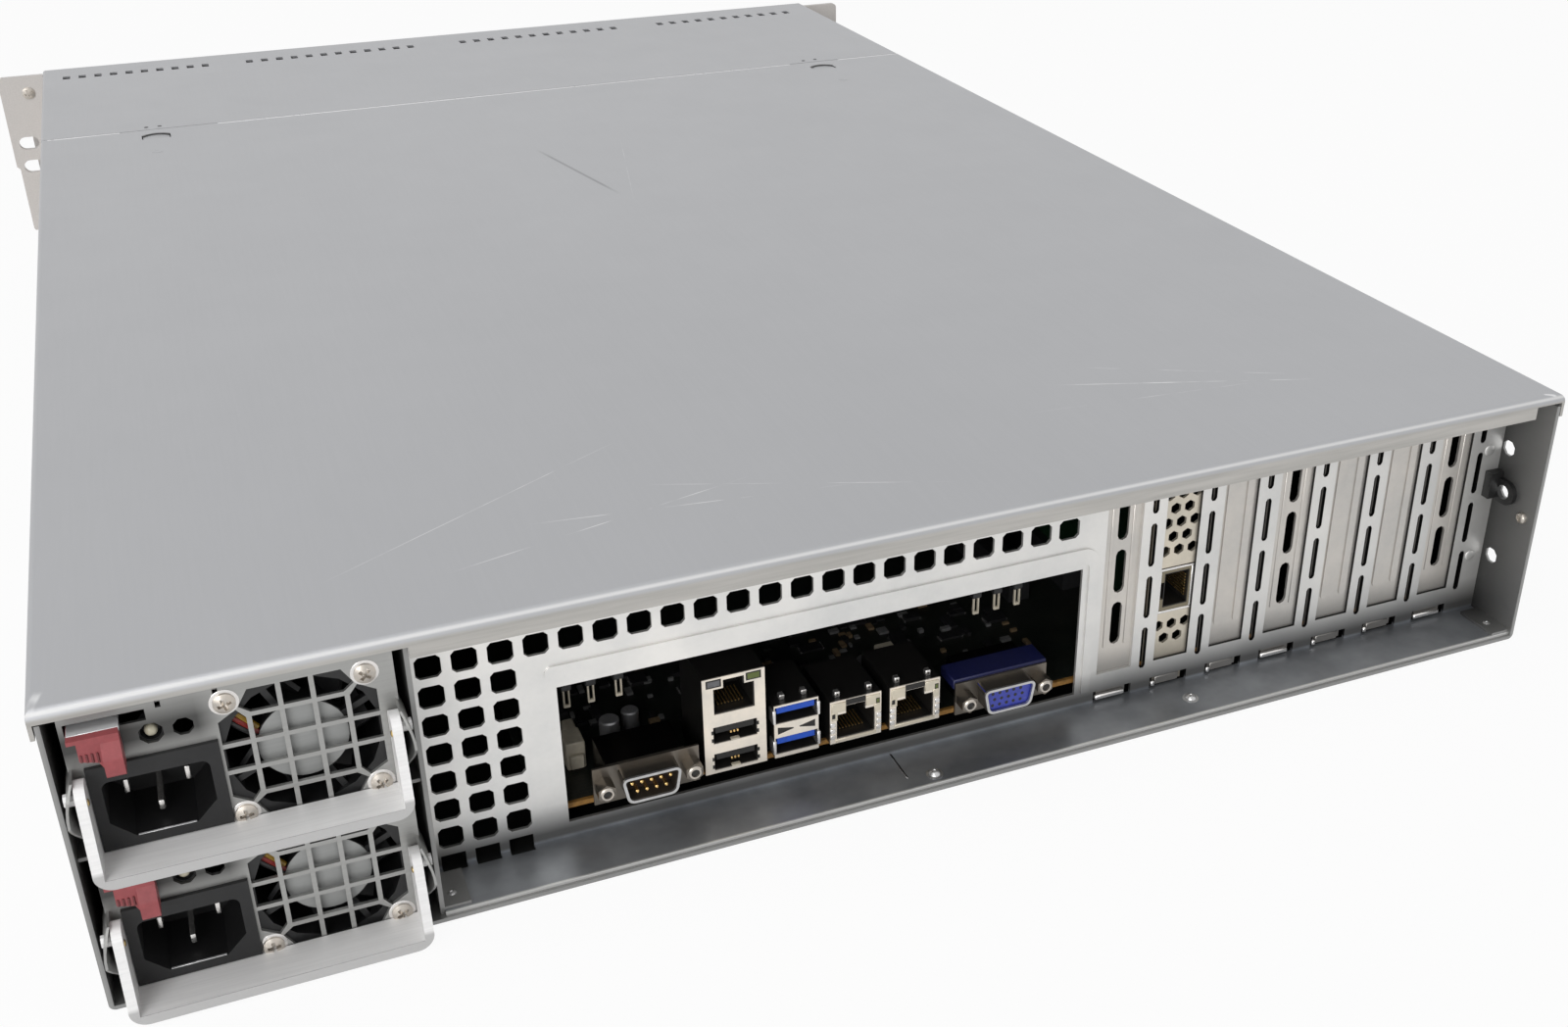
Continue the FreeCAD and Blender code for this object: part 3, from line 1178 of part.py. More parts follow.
def drive_cage():
    """The bays for the drives, and the vented face above them."""
    y = (FRONT_Y, CAGE_DEPTH)
    pieces = []
    for row in range(1, BAY_ROW_COUNT + 1):
        top = bay_floor(row)
        pieces.append(block((-WALL_IN, WALL_IN), y, (top - TRAY_SHEET, top)))
    for column in range(1, BAY_COLUMN_COUNT):
        centre = -WALL_IN + column * COLUMN_PITCH
        pieces.append(block(around(centre, TRAY_SHEET), y, (TRAY_SHEET, CAGE_TOP_Z)))
    holes = []
    span = (FRONT_Y, FRONT_Y + TRAY_SHEET)
    for i in range(FACE_VENT_COUNT):
        x = (i - (FACE_VENT_COUNT - 1) / 2) * FACE_VENT_PITCH - FACE_VENT_PITCH
        window = box_points(around(x, FACE_VENT_WIDTH), around(FACE_VENT_Z, FACE_VENT_HEIGHT))
        holes.append(outline("XZ", window, span[0]))
    button = (POWER_BUTTON_X, FACE_VENT_Z)
    holes.append(near_round("XZ", button, POWER_BUTTON_R + POWER_BUTTON_PLAY, span[0], 16))
    rectangle = box_points((-WALL_IN, WALL_IN), (CAGE_TOP_Z - TRAY_SHEET, WALL_TOP_Z))
    pieces.append(slab("XZ", outline("XZ", rectangle, span[0]), holes, span))
    return fused(pieces)


def drive_backplane():
    """The board that the drives plug into, with a connector behind each bay."""
    board = block((-WALL_IN + 2, WALL_IN - 2), (BACKPLANE_Y, BACKPLANE_Y + BOARD_SHEET), (TRAY_SHEET, CAGE_TOP_Z))
    plugs = []
    for column in range(BAY_COLUMN_COUNT):
        for row in range(BAY_ROW_COUNT):
            centre = sum(bay_column(column)) / 2
            z = bay_floor(row) + 6
            plugs.append(block(around(centre, BACKPLANE_PLUG), (BACKPLANE_Y - 5, BACKPLANE_Y), (z, z + 5)))
    return fused([board] + plugs)


def drive_carrier(column, row):
    """A hot-swap tray: a slotted bezel, two rails, a floor and the two lugs that hold the lever's end."""
    left, right = bay_column(column)
    x = (left + CARRIER_GAP, right - CARRIER_GAP)
    low = bay_floor(row) + BAY_FLOOR_GAP
    z = (low, low + CARRIER_HEIGHT)
    bezel_y = (FRONT_Y, FRONT_Y + CARRIER_BEZEL)
    back = FRONT_Y + CARRIER_LENGTH
    holes = []
    first = x[0] + LEVER_INSET + LEVER_LENGTH + 6
    for i in range(CARRIER_SLOT_COUNT):
        centre = first + i * CARRIER_SLOT_PITCH
        holes.append(outline("XZ", box_points(around(centre, CARRIER_SLOT), (z[0] + 4, z[1] - 4)), bezel_y[0]))
    bezel = slab("XZ", outline("XZ", box_points(x, z), bezel_y[0]), holes, bezel_y)
    rail_z = (low, low + CARRIER_RAIL)
    rails = [
        block((x[0], x[0] + CARRIER_WALL), (bezel_y[1], back), rail_z),
        block((x[1] - CARRIER_WALL, x[1]), (bezel_y[1], back), rail_z),
    ]
    floor = block(x, (bezel_y[1], back - 12), (low, low + CARRIER_WALL))
    lever_z = around(low + CARRIER_HEIGHT / 2, LEVER_HEIGHT + 2 * COVER_GAP)
    pivot = lever_pivot(column)
    knuckles = []
    for span in ((lever_z[0] - 2.4, lever_z[0]), (lever_z[1], lever_z[1] + 2.4)):
        knuckles.append(block(around(pivot[0], LEVER_THICK), (pivot[1] - LEVER_THICK / 2, FRONT_Y), span))
    return fused([bezel, floor] + rails + knuckles)


def lever_pivot(column):
    """The X and Y of a carrier lever's pin."""
    left = bay_column(column)[0] + CARRIER_GAP
    return (left + LEVER_INSET, FRONT_Y - LEVER_STANDOFF - LEVER_THICK / 2)


def carrier_lever(column, row):
    """The front lever of a carrier: a slim bar with a round pivot end and a finger lip."""
    pivot = lever_pivot(column)
    low = bay_floor(row) + BAY_FLOOR_GAP
    z = around(low + CARRIER_HEIGHT / 2, LEVER_HEIGHT)
    half = LEVER_THICK / 2
    start = pivot[0]
    end = start + LEVER_LENGTH
    return prism("XY", [
        (start - half, pivot[1] - half / 2), (start - half / 2, pivot[1] - half), (end - 6, pivot[1] - half),
        (end, pivot[1] - half - 1.6), (end, pivot[1] + half), (start - half / 2, pivot[1] + half),
        (start - half, pivot[1] + half / 2)], z)


def power_button():
    y = (FRONT_Y - POWER_BUTTON_PROUD, FRONT_Y + TRAY_SHEET + 4)
    centre = (POWER_BUTTON_X, FACE_VENT_Z)
    cap = near_rod("XZ", centre, POWER_BUTTON_R, y, 16)
    flange = near_rod("XZ", centre, POWER_BUTTON_R + 1.5, (FRONT_Y + TRAY_SHEET + 0.3, y[1]), 16)
    return fused([cap, flange])


def fan_centre(number):
    """The X and Z of a chassis fan, counted from 0."""
    return ((number - 1) * FAN_PITCH, TRAY_SHEET + FAN_SIZE / 2)


def fan_bulkhead():
    """The cross wall behind the chassis fans, with a round opening for each."""
    y = (FAN_FRONT_Y + FAN_DEPTH, FAN_FRONT_Y + FAN_DEPTH + TRAY_SHEET)
    outer = outline("XZ", box_points((-WALL_IN, WALL_IN), (TRAY_SHEET, WALL_TOP_Z - 2)), y[0])
    holes = [near_round("XZ", fan_centre(i), FAN_BORE, y[0], 16) for i in range(FAN_COUNT)]
    return slab("XZ", outer, holes, y)


def chassis_fan_frame(number):
    centre = fan_centre(number)
    y = (FAN_FRONT_Y, FAN_FRONT_Y + FAN_DEPTH)
    square = outline("XZ", box_points(around(centre[0], FAN_SIZE), around(centre[1], FAN_SIZE)), y[0])
    frame = slab("XZ", square, [near_round("XZ", centre, FAN_BORE, y[0], 16)], y)
    base_y = (y[1] - 4, y[1] - 1)
    pieces = [frame, near_rod("XZ", centre, FAN_HUB, base_y, 12)]
    for turn in (30, 150, 270):
        spoke = block((centre[0], centre[0] + FAN_BORE + 0.5), base_y, around(centre[1], 3.0))
        spoke.rotate(spot("XZ", centre[0], centre[1], 0), NORMALS["XZ"], turn)
        pieces.append(spoke)
    return fused(pieces)


def chassis_fan_rotor(number):
    y = (FAN_FRONT_Y + 3, FAN_FRONT_Y + FAN_DEPTH - 4.6)
    return fan_rotor(fan_centre(number), FAN_HUB, FAN_BORE - FAN_TIP_GAP, y, 5)


def lock_loop():
    """A strap block on the panel with a ring tab along the wall, for a padlock or cable lock."""
    wall = -WALL_IN
    block_y = (PANEL_FACE_Y, PANEL_FACE_Y + 3.0)
    strap = block((wall, wall + LOOP_BLOCK_X), block_y, LOOP_BLOCK_Z)
    tab = prism("YZ", [
        (PANEL_FACE_Y, LOOP_Z - 4), (PANEL_FACE_Y + LOOP_REACH, LOOP_Z - 4, 3.8),
        (PANEL_FACE_Y + LOOP_REACH, LOOP_Z + 4, 3.8), (PANEL_FACE_Y, LOOP_Z + 4)], (wall, wall + LOOP_TAB))
    centre = (PANEL_FACE_Y + LOOP_REACH - 4.6, LOOP_Z)
    hole = near_rod("YZ", centre, LOOP_HOLE, (wall - 1, wall + LOOP_BLOCK_X + 1), 12)
    return cut(fused([strap, tab]), [hole])


def main():
    os.makedirs("parts", exist_ok=True)
    save("chassis_tray", chassis_tray())
    save("front_deck", front_deck())
    save("top_cover", top_cover())
    save("cover_latch_right", cover_latch(1))
    save("cover_latch_left", cover_latch(-1))
    save("rear_panel", rear_panel())
    save("slot_covers_vented", *[slot_cover_vented(n) for n in VENTED_SLOTS])
    save("slot_covers_ribbed", *[slot_cover_ribbed(n) for n in RIBBED_SLOTS])
    save("nic_bracket", nic_bracket())
    save("nic_card", nic_card())
    save("motherboard", motherboard())
    save("cpu_heatsinks", *[heatsink(x) for x in HEATSINK_X])
    save("memory_modules", *memory_modules())
    save("expansion_sockets", *[expansion_socket(n) for n in range(1, SLOT_COUNT + 1)])
    save("serial_port", dsub_port(SERIAL_X, SERIAL_Z))
    save("vga_port", dsub_port(VGA_X, VGA_Z))
    save("lan_usb_stack", lan_usb_stack())
    save("usb3_stack", usb3_stack())
    save("lan_jacks", *[lan_jack(x) for x in LAN_JACKS_X])
    save("psu_bay", psu_bay())
    for number, base in enumerate(PSU_BASE_Z, 1):
        name = "psu_" + str(number)
        save(name + "_case", psu_case(base))
        save(name + "_inlet", psu_inlet(base))
        save(name + "_fan_frame", psu_fan_frame(base))
        save(name + "_fan_rotor", psu_fan_rotor(base))
        save(name + "_handle", psu_handle(base))
        save(name + "_latch", psu_latch(base))
    save("rack_ear_right", rack_ear(1))
    save("rack_ear_left", rack_ear(-1))
    save("pull_handles", pull_handle(1), pull_handle(-1))
    save("drive_cage", drive_cage())
    save("drive_backplane", drive_backplane())
    save("power_button", power_button())
    number = 0
    for row in range(BAY_ROW_COUNT):
        for column in range(BAY_COLUMN_COUNT):
            number += 1
            save("drive_carrier_" + str(number), drive_carrier(column, row))
            save("carrier_lever_" + str(number), carrier_lever(column, row))
    save("fan_bulkhead", fan_bulkhead())
    save("fan_frames", *[chassis_fan_frame(i) for i in range(3)])
    for i in range(3):
        save("fan_rotor_" + str(i + 1), chassis_fan_rotor(i))
    save("lock_loop", lock_loop())


main()
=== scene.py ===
import math
import random

import bmesh
import bpy
from bpy.props import FloatProperty, FloatVectorProperty, IntProperty, PointerProperty
from mathutils import Matrix, Vector


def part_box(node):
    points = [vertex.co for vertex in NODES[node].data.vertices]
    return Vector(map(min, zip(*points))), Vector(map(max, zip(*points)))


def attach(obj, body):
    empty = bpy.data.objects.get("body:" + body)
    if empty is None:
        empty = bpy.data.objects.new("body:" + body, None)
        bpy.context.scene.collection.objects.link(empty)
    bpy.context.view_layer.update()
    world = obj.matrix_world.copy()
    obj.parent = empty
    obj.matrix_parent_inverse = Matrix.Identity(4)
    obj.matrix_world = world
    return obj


bl_info = {
    "name": "Two-unit Rack Server",
    "version": (1, 0, 0),
    "blender": (4, 5, 0),
    "location": "View3D > Sidebar > Rack Server",
    "description": "Finishes, fittings and studio for a two-unit rack server",
    "category": "Object",
}

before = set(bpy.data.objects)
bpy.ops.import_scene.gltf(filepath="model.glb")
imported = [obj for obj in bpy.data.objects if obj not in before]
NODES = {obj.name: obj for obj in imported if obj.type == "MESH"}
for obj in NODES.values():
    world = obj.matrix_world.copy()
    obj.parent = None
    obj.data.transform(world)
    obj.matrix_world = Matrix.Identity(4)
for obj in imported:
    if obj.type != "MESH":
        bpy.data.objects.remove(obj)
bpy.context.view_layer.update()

MM = 0.001
RIGHT, LEFT = 1, -1
TURNS = {
    "x": Matrix.Rotation(math.radians(90), 4, "Y"),
    "y": Matrix.Rotation(math.radians(-90), 4, "X"),
    "z": Matrix.Identity(4),
    "-x": Matrix.Rotation(math.radians(-90), 4, "Y"),
    "-y": Matrix.Rotation(math.radians(90), 4, "X"),
}


def at(x, y, z):
    """A place given in millimetres."""
    return Vector((x, y, z)) * MM


def span_of(node):
    """A node's lowest and highest corners in millimetres."""
    low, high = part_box(node)
    return low / MM, high / MM


SLOT_COUNT = 7
SLOT_PITCH = 20.32
VENTED_SLOTS = (0, 3, 6)
PANEL_SHEET = 1.0
BRACKET_SHEET = 1.0

PANEL_LOW = span_of("rear_panel")[0]
PANEL_FACE = PANEL_LOW.y + PANEL_SHEET
LIP_TOP = PANEL_LOW.z + PANEL_SHEET
WALL_LEFT = PANEL_LOW.x
BOARD_LOW, BOARD_HIGH = span_of("motherboard")
COVER_LOW, COVER_HIGH = span_of("top_cover")
FRONT_FACE = span_of("front_deck")[0].y
PORT_FACE = span_of("usb3_stack")[1].y
STACK_JACK_LOW, STACK_USB_LOWS = 31.4, (21.6, 12.6)
USB3_LOWS, LAN_JACK_LOW = (23.2, 12.8), 13.0
JACK_WIDTH, JACK_MOUTH, JACK_NOTCH = 16.0, 8.4, 2.6
INLET_UP, INLET_PROUD = 2.9, 1.2


def middle_of(node):
    """The X and Z of a node's middle, in millimetres."""
    low, high = span_of(node)
    return (low.x + high.x) / 2, (low.z + high.z) / 2


SLOT_FIRST = middle_of("nic_bracket")[0] + SLOT_PITCH


def supply(number):
    """The base height, face and fan centre of a power supply, in millimetres."""
    inlet_low, inlet_high = span_of(f"psu_{number}_inlet")
    fan_low, fan_high = span_of(f"psu_{number}_fan_frame")
    return inlet_low.z - INLET_UP, inlet_high.y - INLET_PROUD, (fan_low + fan_high) / 2


# ---- settings -------------------------------------------------------------------------------------------


class SheetSettings(bpy.types.PropertyGroup):
    cover_colour: FloatVectorProperty(
        name="Cover", description="Colour of the plated sheet of the lid and the front deck",
        subtype="COLOR", default=(0.43, 0.435, 0.45), min=0.0, max=1.0)
    shell_colour: FloatVectorProperty(
        name="Shell", description="Colour of the plated sheet of the tray and the rear panel",
        subtype="COLOR", default=(0.60, 0.60, 0.59), min=0.0, max=1.0)
    scratch_strength: FloatProperty(
        name="Scratches", description="How strongly the scratches in the lid show",
        subtype="FACTOR", default=0.8, min=0.0, max=1.0)
    rivet_radius: FloatProperty(
        name="Rivet radius", description="Radius of the dome rivets in the rear lip, in millimetres",
        default=1.75, min=1.0, max=3.0)


class SupplySettings(bpy.types.PropertyGroup):
    bail_colour: FloatVectorProperty(
        name="Bail", description="Colour of the power supplies' pull handles",
        subtype="COLOR", default=(0.88, 0.875, 0.87), min=0.0, max=1.0)
    tab_colour: FloatVectorProperty(
        name="Release tab", description="Colour of the hot-swap release tabs",
        subtype="COLOR", default=(0.30, 0.062, 0.068), min=0.0, max=1.0)
    screw_radius: FloatProperty(
        name="Guard screw radius", description="Head radius of the screws that hold the fans, in millimetres",
        default=2.65, min=2.0, max=4.5)
    screw_spacing: FloatProperty(
        name="Guard screw spacing", description="Distance between the fan's screws, in millimetres",
        default=32.0, min=20.0, max=36.0)


class PortSettings(bpy.types.PropertyGroup):
    blue: FloatVectorProperty(
        name="Blue plastic", description="Colour of the video and fast USB inserts",
        subtype="COLOR", default=(0.04, 0.055, 0.36), min=0.0, max=1.0)
    gold: FloatVectorProperty(
        name="Contacts", description="Colour of the gold-plated contacts",
        subtype="COLOR", default=(0.75, 0.50, 0.20), min=0.0, max=1.0)


class BoardSettings(bpy.types.PropertyGroup):
    part_count: IntProperty(
        name="Small parts", description="How many chips, resistors and capacitors stand near the port window",
        default=150, min=0, max=400)
    seed: IntProperty(name="Seed", description="Which scatter of small parts to use", default=7, min=0)


class StudioSettings(bpy.types.PropertyGroup):
    focal_length: FloatProperty(
        name="Focal length", description="Focal length of the camera", subtype="DISTANCE_CAMERA",
        default=38.58, min=20.0, max=120.0)
    key_power: FloatProperty(
        name="Key power", description="Power of the large lamp over the lid", subtype="POWER",
        default=12.8, min=0.0, max=200.0)
    rear_power: FloatProperty(
        name="Rear power", description="Power of the lamp that faces the rear panel", subtype="POWER",
        default=26.0, min=0.0, max=200.0)
    ambient: FloatProperty(
        name="Ambient", description="Strength of the even light from all round",
        subtype="FACTOR", default=0.38, min=0.0, max=2.0)


# ---- modelling helpers -----------------------------------------------------------------------------------


def bevel_edges(bm, edges, width, segments=2):
    bmesh.ops.bevel(
        bm, geom=edges, offset=width * MM, offset_type="OFFSET", segments=segments, profile=0.5,
        affect="EDGES", material=-1, clamp_overlap=True)


def add_block(bm, low, high, bevel=0.0, segments=1):
    """A rectangular block between two corners in millimetres."""
    low, high = Vector(low), Vector(high)
    verts = bmesh.ops.create_cube(bm, size=1.0)["verts"]
    bmesh.ops.scale(bm, vec=(high - low) * MM, verts=verts)
    bmesh.ops.translate(bm, vec=(low + high) / 2 * MM, verts=verts)
    if bevel:
        edges = list({edge for vert in verts for edge in vert.link_edges})
        bevel_edges(bm, edges, bevel, segments)
    return verts


def island_of(bm, seeds):
    """All vertices joined to the seeds by edges."""
    whole, front = set(seeds), list(seeds)
    while front:
        vert = front.pop()
        for edge in vert.link_edges:
            other = edge.other_vert(vert)
            if other not in whole:
                whole.add(other)
                front.append(other)
    return [vert for vert in whole if vert.is_valid]


def place_verts(bm, verts, place, axis):
    """Turn vertices from Z to another axis, and move them to a place in millimetres."""
    matrix = Matrix.Translation(Vector(place) * MM) @ TURNS[axis]
    bmesh.ops.transform(bm, matrix=matrix, verts=verts)


def add_turned(bm, profile, place, axis="z", steps=20):
    """A turned piece: a half profile of (radius, height) points spun about an axis through a place."""
    verts = [bm.verts.new((r * MM, 0, h * MM)) for r, h in profile]
    edges = [bm.edges.new(pair) for pair in zip(verts, verts[1:])]
    bmesh.ops.spin(
        bm, geom=verts + edges, cent=(0, 0, 0), axis=(0, 0, 1), angle=2 * math.pi, steps=steps,
        use_merge=True, use_duplicate=False)
    place_verts(bm, island_of(bm, verts), place, axis)


def add_rod(bm, place, radius, length, axis="z", steps=16, chamfer=0.0):
    """A round bar from a place along an axis, with its ends closed."""
    profile = [(0, 0), (radius, 0), (radius, length), (0, length)]
    if chamfer:
        inner, end = radius - chamfer, length - chamfer
        profile = [(0, 0), (inner, 0), (radius, chamfer), (radius, end), (inner, length), (0, length)]
    add_turned(bm, profile, place, axis, steps)


def taper_below(verts, x, z, share):
    """Draw in what lies under a height, towards a middle, as the shell of a D connector is."""
    for vert in verts:
        if vert.co.z < z * MM:
            vert.co.x = x * MM + (vert.co.x - x * MM) * share


def round_corners(bm, radius, steps):
    """Round the corners of a block, seen along the depth of the chassis."""
    along = [edge for edge in bm.edges if abs(edge.verts[0].co.y - edge.verts[1].co.y) > 0.5 * MM]
    bevel_edges(bm, along, radius, steps)


def add_dome(bm, place, radius, height, axis="z", steps=20, rim=0.25):
    """A dome head with a short upright rim."""
    profile = [(0, 0), (radius, 0), (radius, rim)]
    for i in range(1, 6):
        turn = math.radians(90 * i / 5)
        profile.append((radius * math.cos(turn), rim + (height - rim) * math.sin(turn)))
    profile[-1] = (0, height)
    add_turned(bm, profile, place, axis, steps)


def add_cross_screw(bm, place, radius, height, axis="z", twist=0.0, depth=0.8):
    """A pan head with a cross recess, grown from a small grid."""
    verts = bmesh.ops.create_grid(bm, x_segments=5, y_segments=5, size=1.0)["verts"]
    stops = {-1.0: -1.0, -0.6: -0.62, -0.2: -0.17, 0.2: 0.17, 0.6: 0.62, 1.0: 1.0}
    for vert in verts:
        x = stops[min(stops, key=lambda s: abs(s - vert.co.x))]
        y = stops[min(stops, key=lambda s: abs(s - vert.co.y))]
        if max(abs(x), abs(y)) > 0.9:
            rim = Vector((x, y, 0)).normalized()
            x, y = rim.x, rim.y
        vert.co = Vector((x, y, 0))
    faces = {face for vert in verts for face in vert.link_faces}
    arms = []
    for face in faces:
        middle = face.calc_center_median()
        if max(abs(middle.x), abs(middle.y)) < 0.5 and min(abs(middle.x), abs(middle.y)) < 0.1:
            arms.append(face)
    for vert in verts:
        reach = min(1.0, vert.co.length)
        vert.co.z = height * math.sqrt(max(0.0, 1.0 - 0.72 * reach * reach))
    sunk = bmesh.ops.extrude_face_region(bm, geom=arms)["geom"]
    sunk_verts = [item for item in sunk if isinstance(item, bmesh.types.BMVert)]
    bmesh.ops.delete(bm, geom=arms, context="FACES_ONLY")
    for vert in sunk_verts:
        vert.co.x *= 0.86
        vert.co.y *= 0.86
        vert.co.z -= depth
    rim_edges = [edge for vert in verts for edge in vert.link_edges if edge.is_boundary]
    skirt = bmesh.ops.extrude_edge_only(bm, edges=list(set(rim_edges)))["geom"]
    skirt_verts = [item for item in skirt if isinstance(item, bmesh.types.BMVert)]
    for vert in skirt_verts:
        vert.co.z = 0.0
    base_edges = [item for item in skirt if isinstance(item, bmesh.types.BMEdge) and item.is_boundary]
    bmesh.ops.contextual_create(bm, geom=base_edges)
    whole = list(set(verts) | set(sunk_verts) | set(skirt_verts))
    bmesh.ops.scale(bm, vec=(radius * MM, radius * MM, MM), verts=whole)
    bmesh.ops.rotate(bm, cent=(0, 0, 0), matrix=Matrix.Rotation(twist, 3, "Z"), verts=whole)
    place_verts(bm, whole, place, axis)


def add_tube(bm, points, radius, steps=8):
    """A round wire along a smooth path through points in millimetres."""
    curve = bpy.data.curves.new("path", "CURVE")
    curve.dimensions = "3D"
    curve.bevel_depth = radius * MM
    curve.bevel_resolution = max(0, steps // 4)
    curve.use_fill_caps = True
    spline = curve.splines.new("NURBS")
    spline.points.add(len(points) - 1)
    for point, place in zip(spline.points, points):
        point.co = (*(Vector(place) * MM), 1.0)
    spline.order_u = 3
    spline.use_endpoint_u = True
    holder = bpy.data.objects.new("path", curve)
    bpy.context.scene.collection.objects.link(holder)
    mesh = bpy.data.meshes.new_from_object(holder.evaluated_get(bpy.context.evaluated_depsgraph_get()))
    bm.from_mesh(mesh)
    bpy.data.objects.remove(holder)
    bpy.data.meshes.remove(mesh)


def add_piece(name, bm, look, body="chassis", smooth=40.0):
    """Close a bmesh into one object that rides on a body."""
    bmesh.ops.remove_doubles(bm, verts=bm.verts, dist=1e-7)
    bmesh.ops.recalc_face_normals(bm, faces=bm.faces)
    mesh = bpy.data.meshes.new(name)
    bm.to_mesh(mesh)
    bm.free()
    for polygon in mesh.polygons:
        polygon.use_smooth = True
    mesh.set_sharp_from_angle(angle=math.radians(smooth))
    mesh.materials.append(FINISHES[look].material)
    piece = bpy.data.objects.new(name, mesh)
    bpy.context.scene.collection.objects.link(piece)
    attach(piece, body)
    return piece


# ---- finishes --------------------------------------------------------------------------------------------


class Finish:
    """A material, with short ways to lay patterns over it."""

    def __init__(self, name, colour, metal=0.0, rough=0.5):
        self.material = bpy.data.materials.new(name)
        self.material.use_nodes = True
        self.nodes = self.material.node_tree.nodes
        self.links = self.material.node_tree.links
        self.shader = self.nodes["Principled BSDF"]
        self.set("Base Color", (*colour, 1.0))
        self.set("Metallic", metal)
        self.set("Roughness", rough)
        self.colour = colour
        self.place = self.nodes.new("ShaderNodeTexCoord").outputs["Object"]
        self.split = None

    def set(self, socket, value):
        self.shader.inputs[socket].default_value = value

    def mapped(self, scale=(1, 1, 1), turn=(0, 0, 0), move=(0, 0, 0)):
        node = self.nodes.new("ShaderNodeMapping")
        node.inputs["Scale"].default_value = scale
        node.inputs["Rotation"].default_value = turn
        node.inputs["Location"].default_value = move
        self.links.new(self.place, node.inputs["Vector"])
        return node.outputs["Vector"]

    def noise(self, scale, detail=4.0, rough=0.55, stretch=(1, 1, 1), turn=(0, 0, 0)):
        node = self.nodes.new("ShaderNodeTexNoise")
        node.inputs["Scale"].default_value = scale
        node.inputs["Detail"].default_value = detail
        node.inputs["Roughness"].default_value = rough
        self.links.new(self.mapped(stretch, turn), node.inputs["Vector"])
        return node.outputs["Fac"]

    def range(self, value, low, high, to_low, to_high):
        node = self.nodes.new("ShaderNodeMapRange")
        node.inputs["From Min"].default_value = low
        node.inputs["From Max"].default_value = high
        node.inputs["To Min"].default_value = to_low
        node.inputs["To Max"].default_value = to_high
        self.links.new(value, node.inputs["Value"])
        return node.outputs["Result"]

    def math(self, operation, first, second=None):
        node = self.nodes.new("ShaderNodeMath")
        node.operation = operation
        for socket, value in zip(node.inputs, (first, second)):
            if value is None:
                continue
            if isinstance(value, (int, float)):
                socket.default_value = value
            else:
                self.links.new(value, socket)
        return node.outputs["Value"]

    def tint(self, factor, first, second):
        """Blend two colours, or a colour and what is already laid down, by a factor."""
        node = self.nodes.new("ShaderNodeMix")
        node.data_type = "RGBA"
        self.links.new(factor, node.inputs["Factor"])
        for name, value in (("A", first), ("B", second)):
            socket = next(s for s in node.inputs if s.name == name and s.type == "RGBA")
            if isinstance(value, tuple):
                socket.default_value = (*value, 1.0)
            else:
                self.links.new(value, socket)
        return next(s for s in node.outputs if s.type == "RGBA")

    def paint(self, socket):
        self.links.new(socket, self.shader.inputs["Base Color"])

    def laid(self):
        """The colour that the shader has so far."""
        return self.shader.inputs["Base Color"].links[0].from_socket

    def gloss(self, socket):
        self.links.new(socket, self.shader.inputs["Roughness"])

    def bump(self, height, strength=0.2, distance=0.0002):
        node = self.nodes.new("ShaderNodeBump")
        node.inputs["Strength"].default_value = strength
        node.inputs["Distance"].default_value = distance
        self.links.new(height, node.inputs["Height"])
        self.links.new(node.outputs["Normal"], self.shader.inputs["Normal"])

    def axis(self, name):
        """The place along one axis, in metres."""
        if self.split is None:
            self.split = self.nodes.new("ShaderNodeSeparateXYZ")
            self.links.new(self.place, self.split.inputs["Vector"])
        return self.split.outputs[name]

    def band(self, axis, low, high, to_low=0.0, to_high=1.0):
        """A ramp between two places along an axis, in millimetres."""
        return self.range(self.axis(axis), low * MM, high * MM, to_low, to_high)

    def product(self, first, *others):
        """Masks that all have to hold."""
        for other in others:
            first = self.math("MULTIPLY", first, other)
        return first

    def lay(self, mask, colour):
        """Lay a colour over what the shader has so far."""
        self.paint(self.tint(mask, self.laid(), colour))

    def mottle(self, pattern, depth):
        """Let the finish's own colour wander with a pattern, by a share of itself."""
        lean = self.range(pattern, 0.3, 0.7, 0.0, 1.0)
        self.paint(self.tint(lean, shade(self.colour, 1.0 - depth), shade(self.colour, 1.0 + depth)))


def shade(colour, factor):
    return tuple(min(1.0, c * factor) for c in colour)


def plated_finish(
        name, colour, metal=0.75, rough=0.42, blotch=0.12, grain=0.05, warm=0.0, cloud_scale=9.0,
        sheen=0.065):
    """Zinc-plated sheet: soft clouds, fine rolling grain and an uneven sheen."""
    steel = Finish(name, colour, metal, rough)
    clouds = steel.noise(cloud_scale, 5.0, 0.6, (1.0, 0.7, 1.0))
    grain_lines = steel.noise(900.0, 2.0, 0.5, (1.0, 0.04, 1.0))
    dark = shade(colour, 1.0 - blotch)
    light = shade(colour, 1.0 + blotch * 0.6)
    light = (light[0] * (1 + warm), light[1], light[2] * (1 - warm))
    steel.paint(steel.tint(steel.range(clouds, 0.32, 0.68, 0.0, 1.0), dark, light))
    steel.lay(steel.range(grain_lines, 0.35, 0.75, 0.0, grain), shade(colour, 1.35))
    steel.gloss(steel.range(steel.noise(40.0, 4.0), 0.3, 0.7, rough - sheen, rough + sheen))
    steel.bump(grain_lines, 0.06, 0.00005)
    return steel


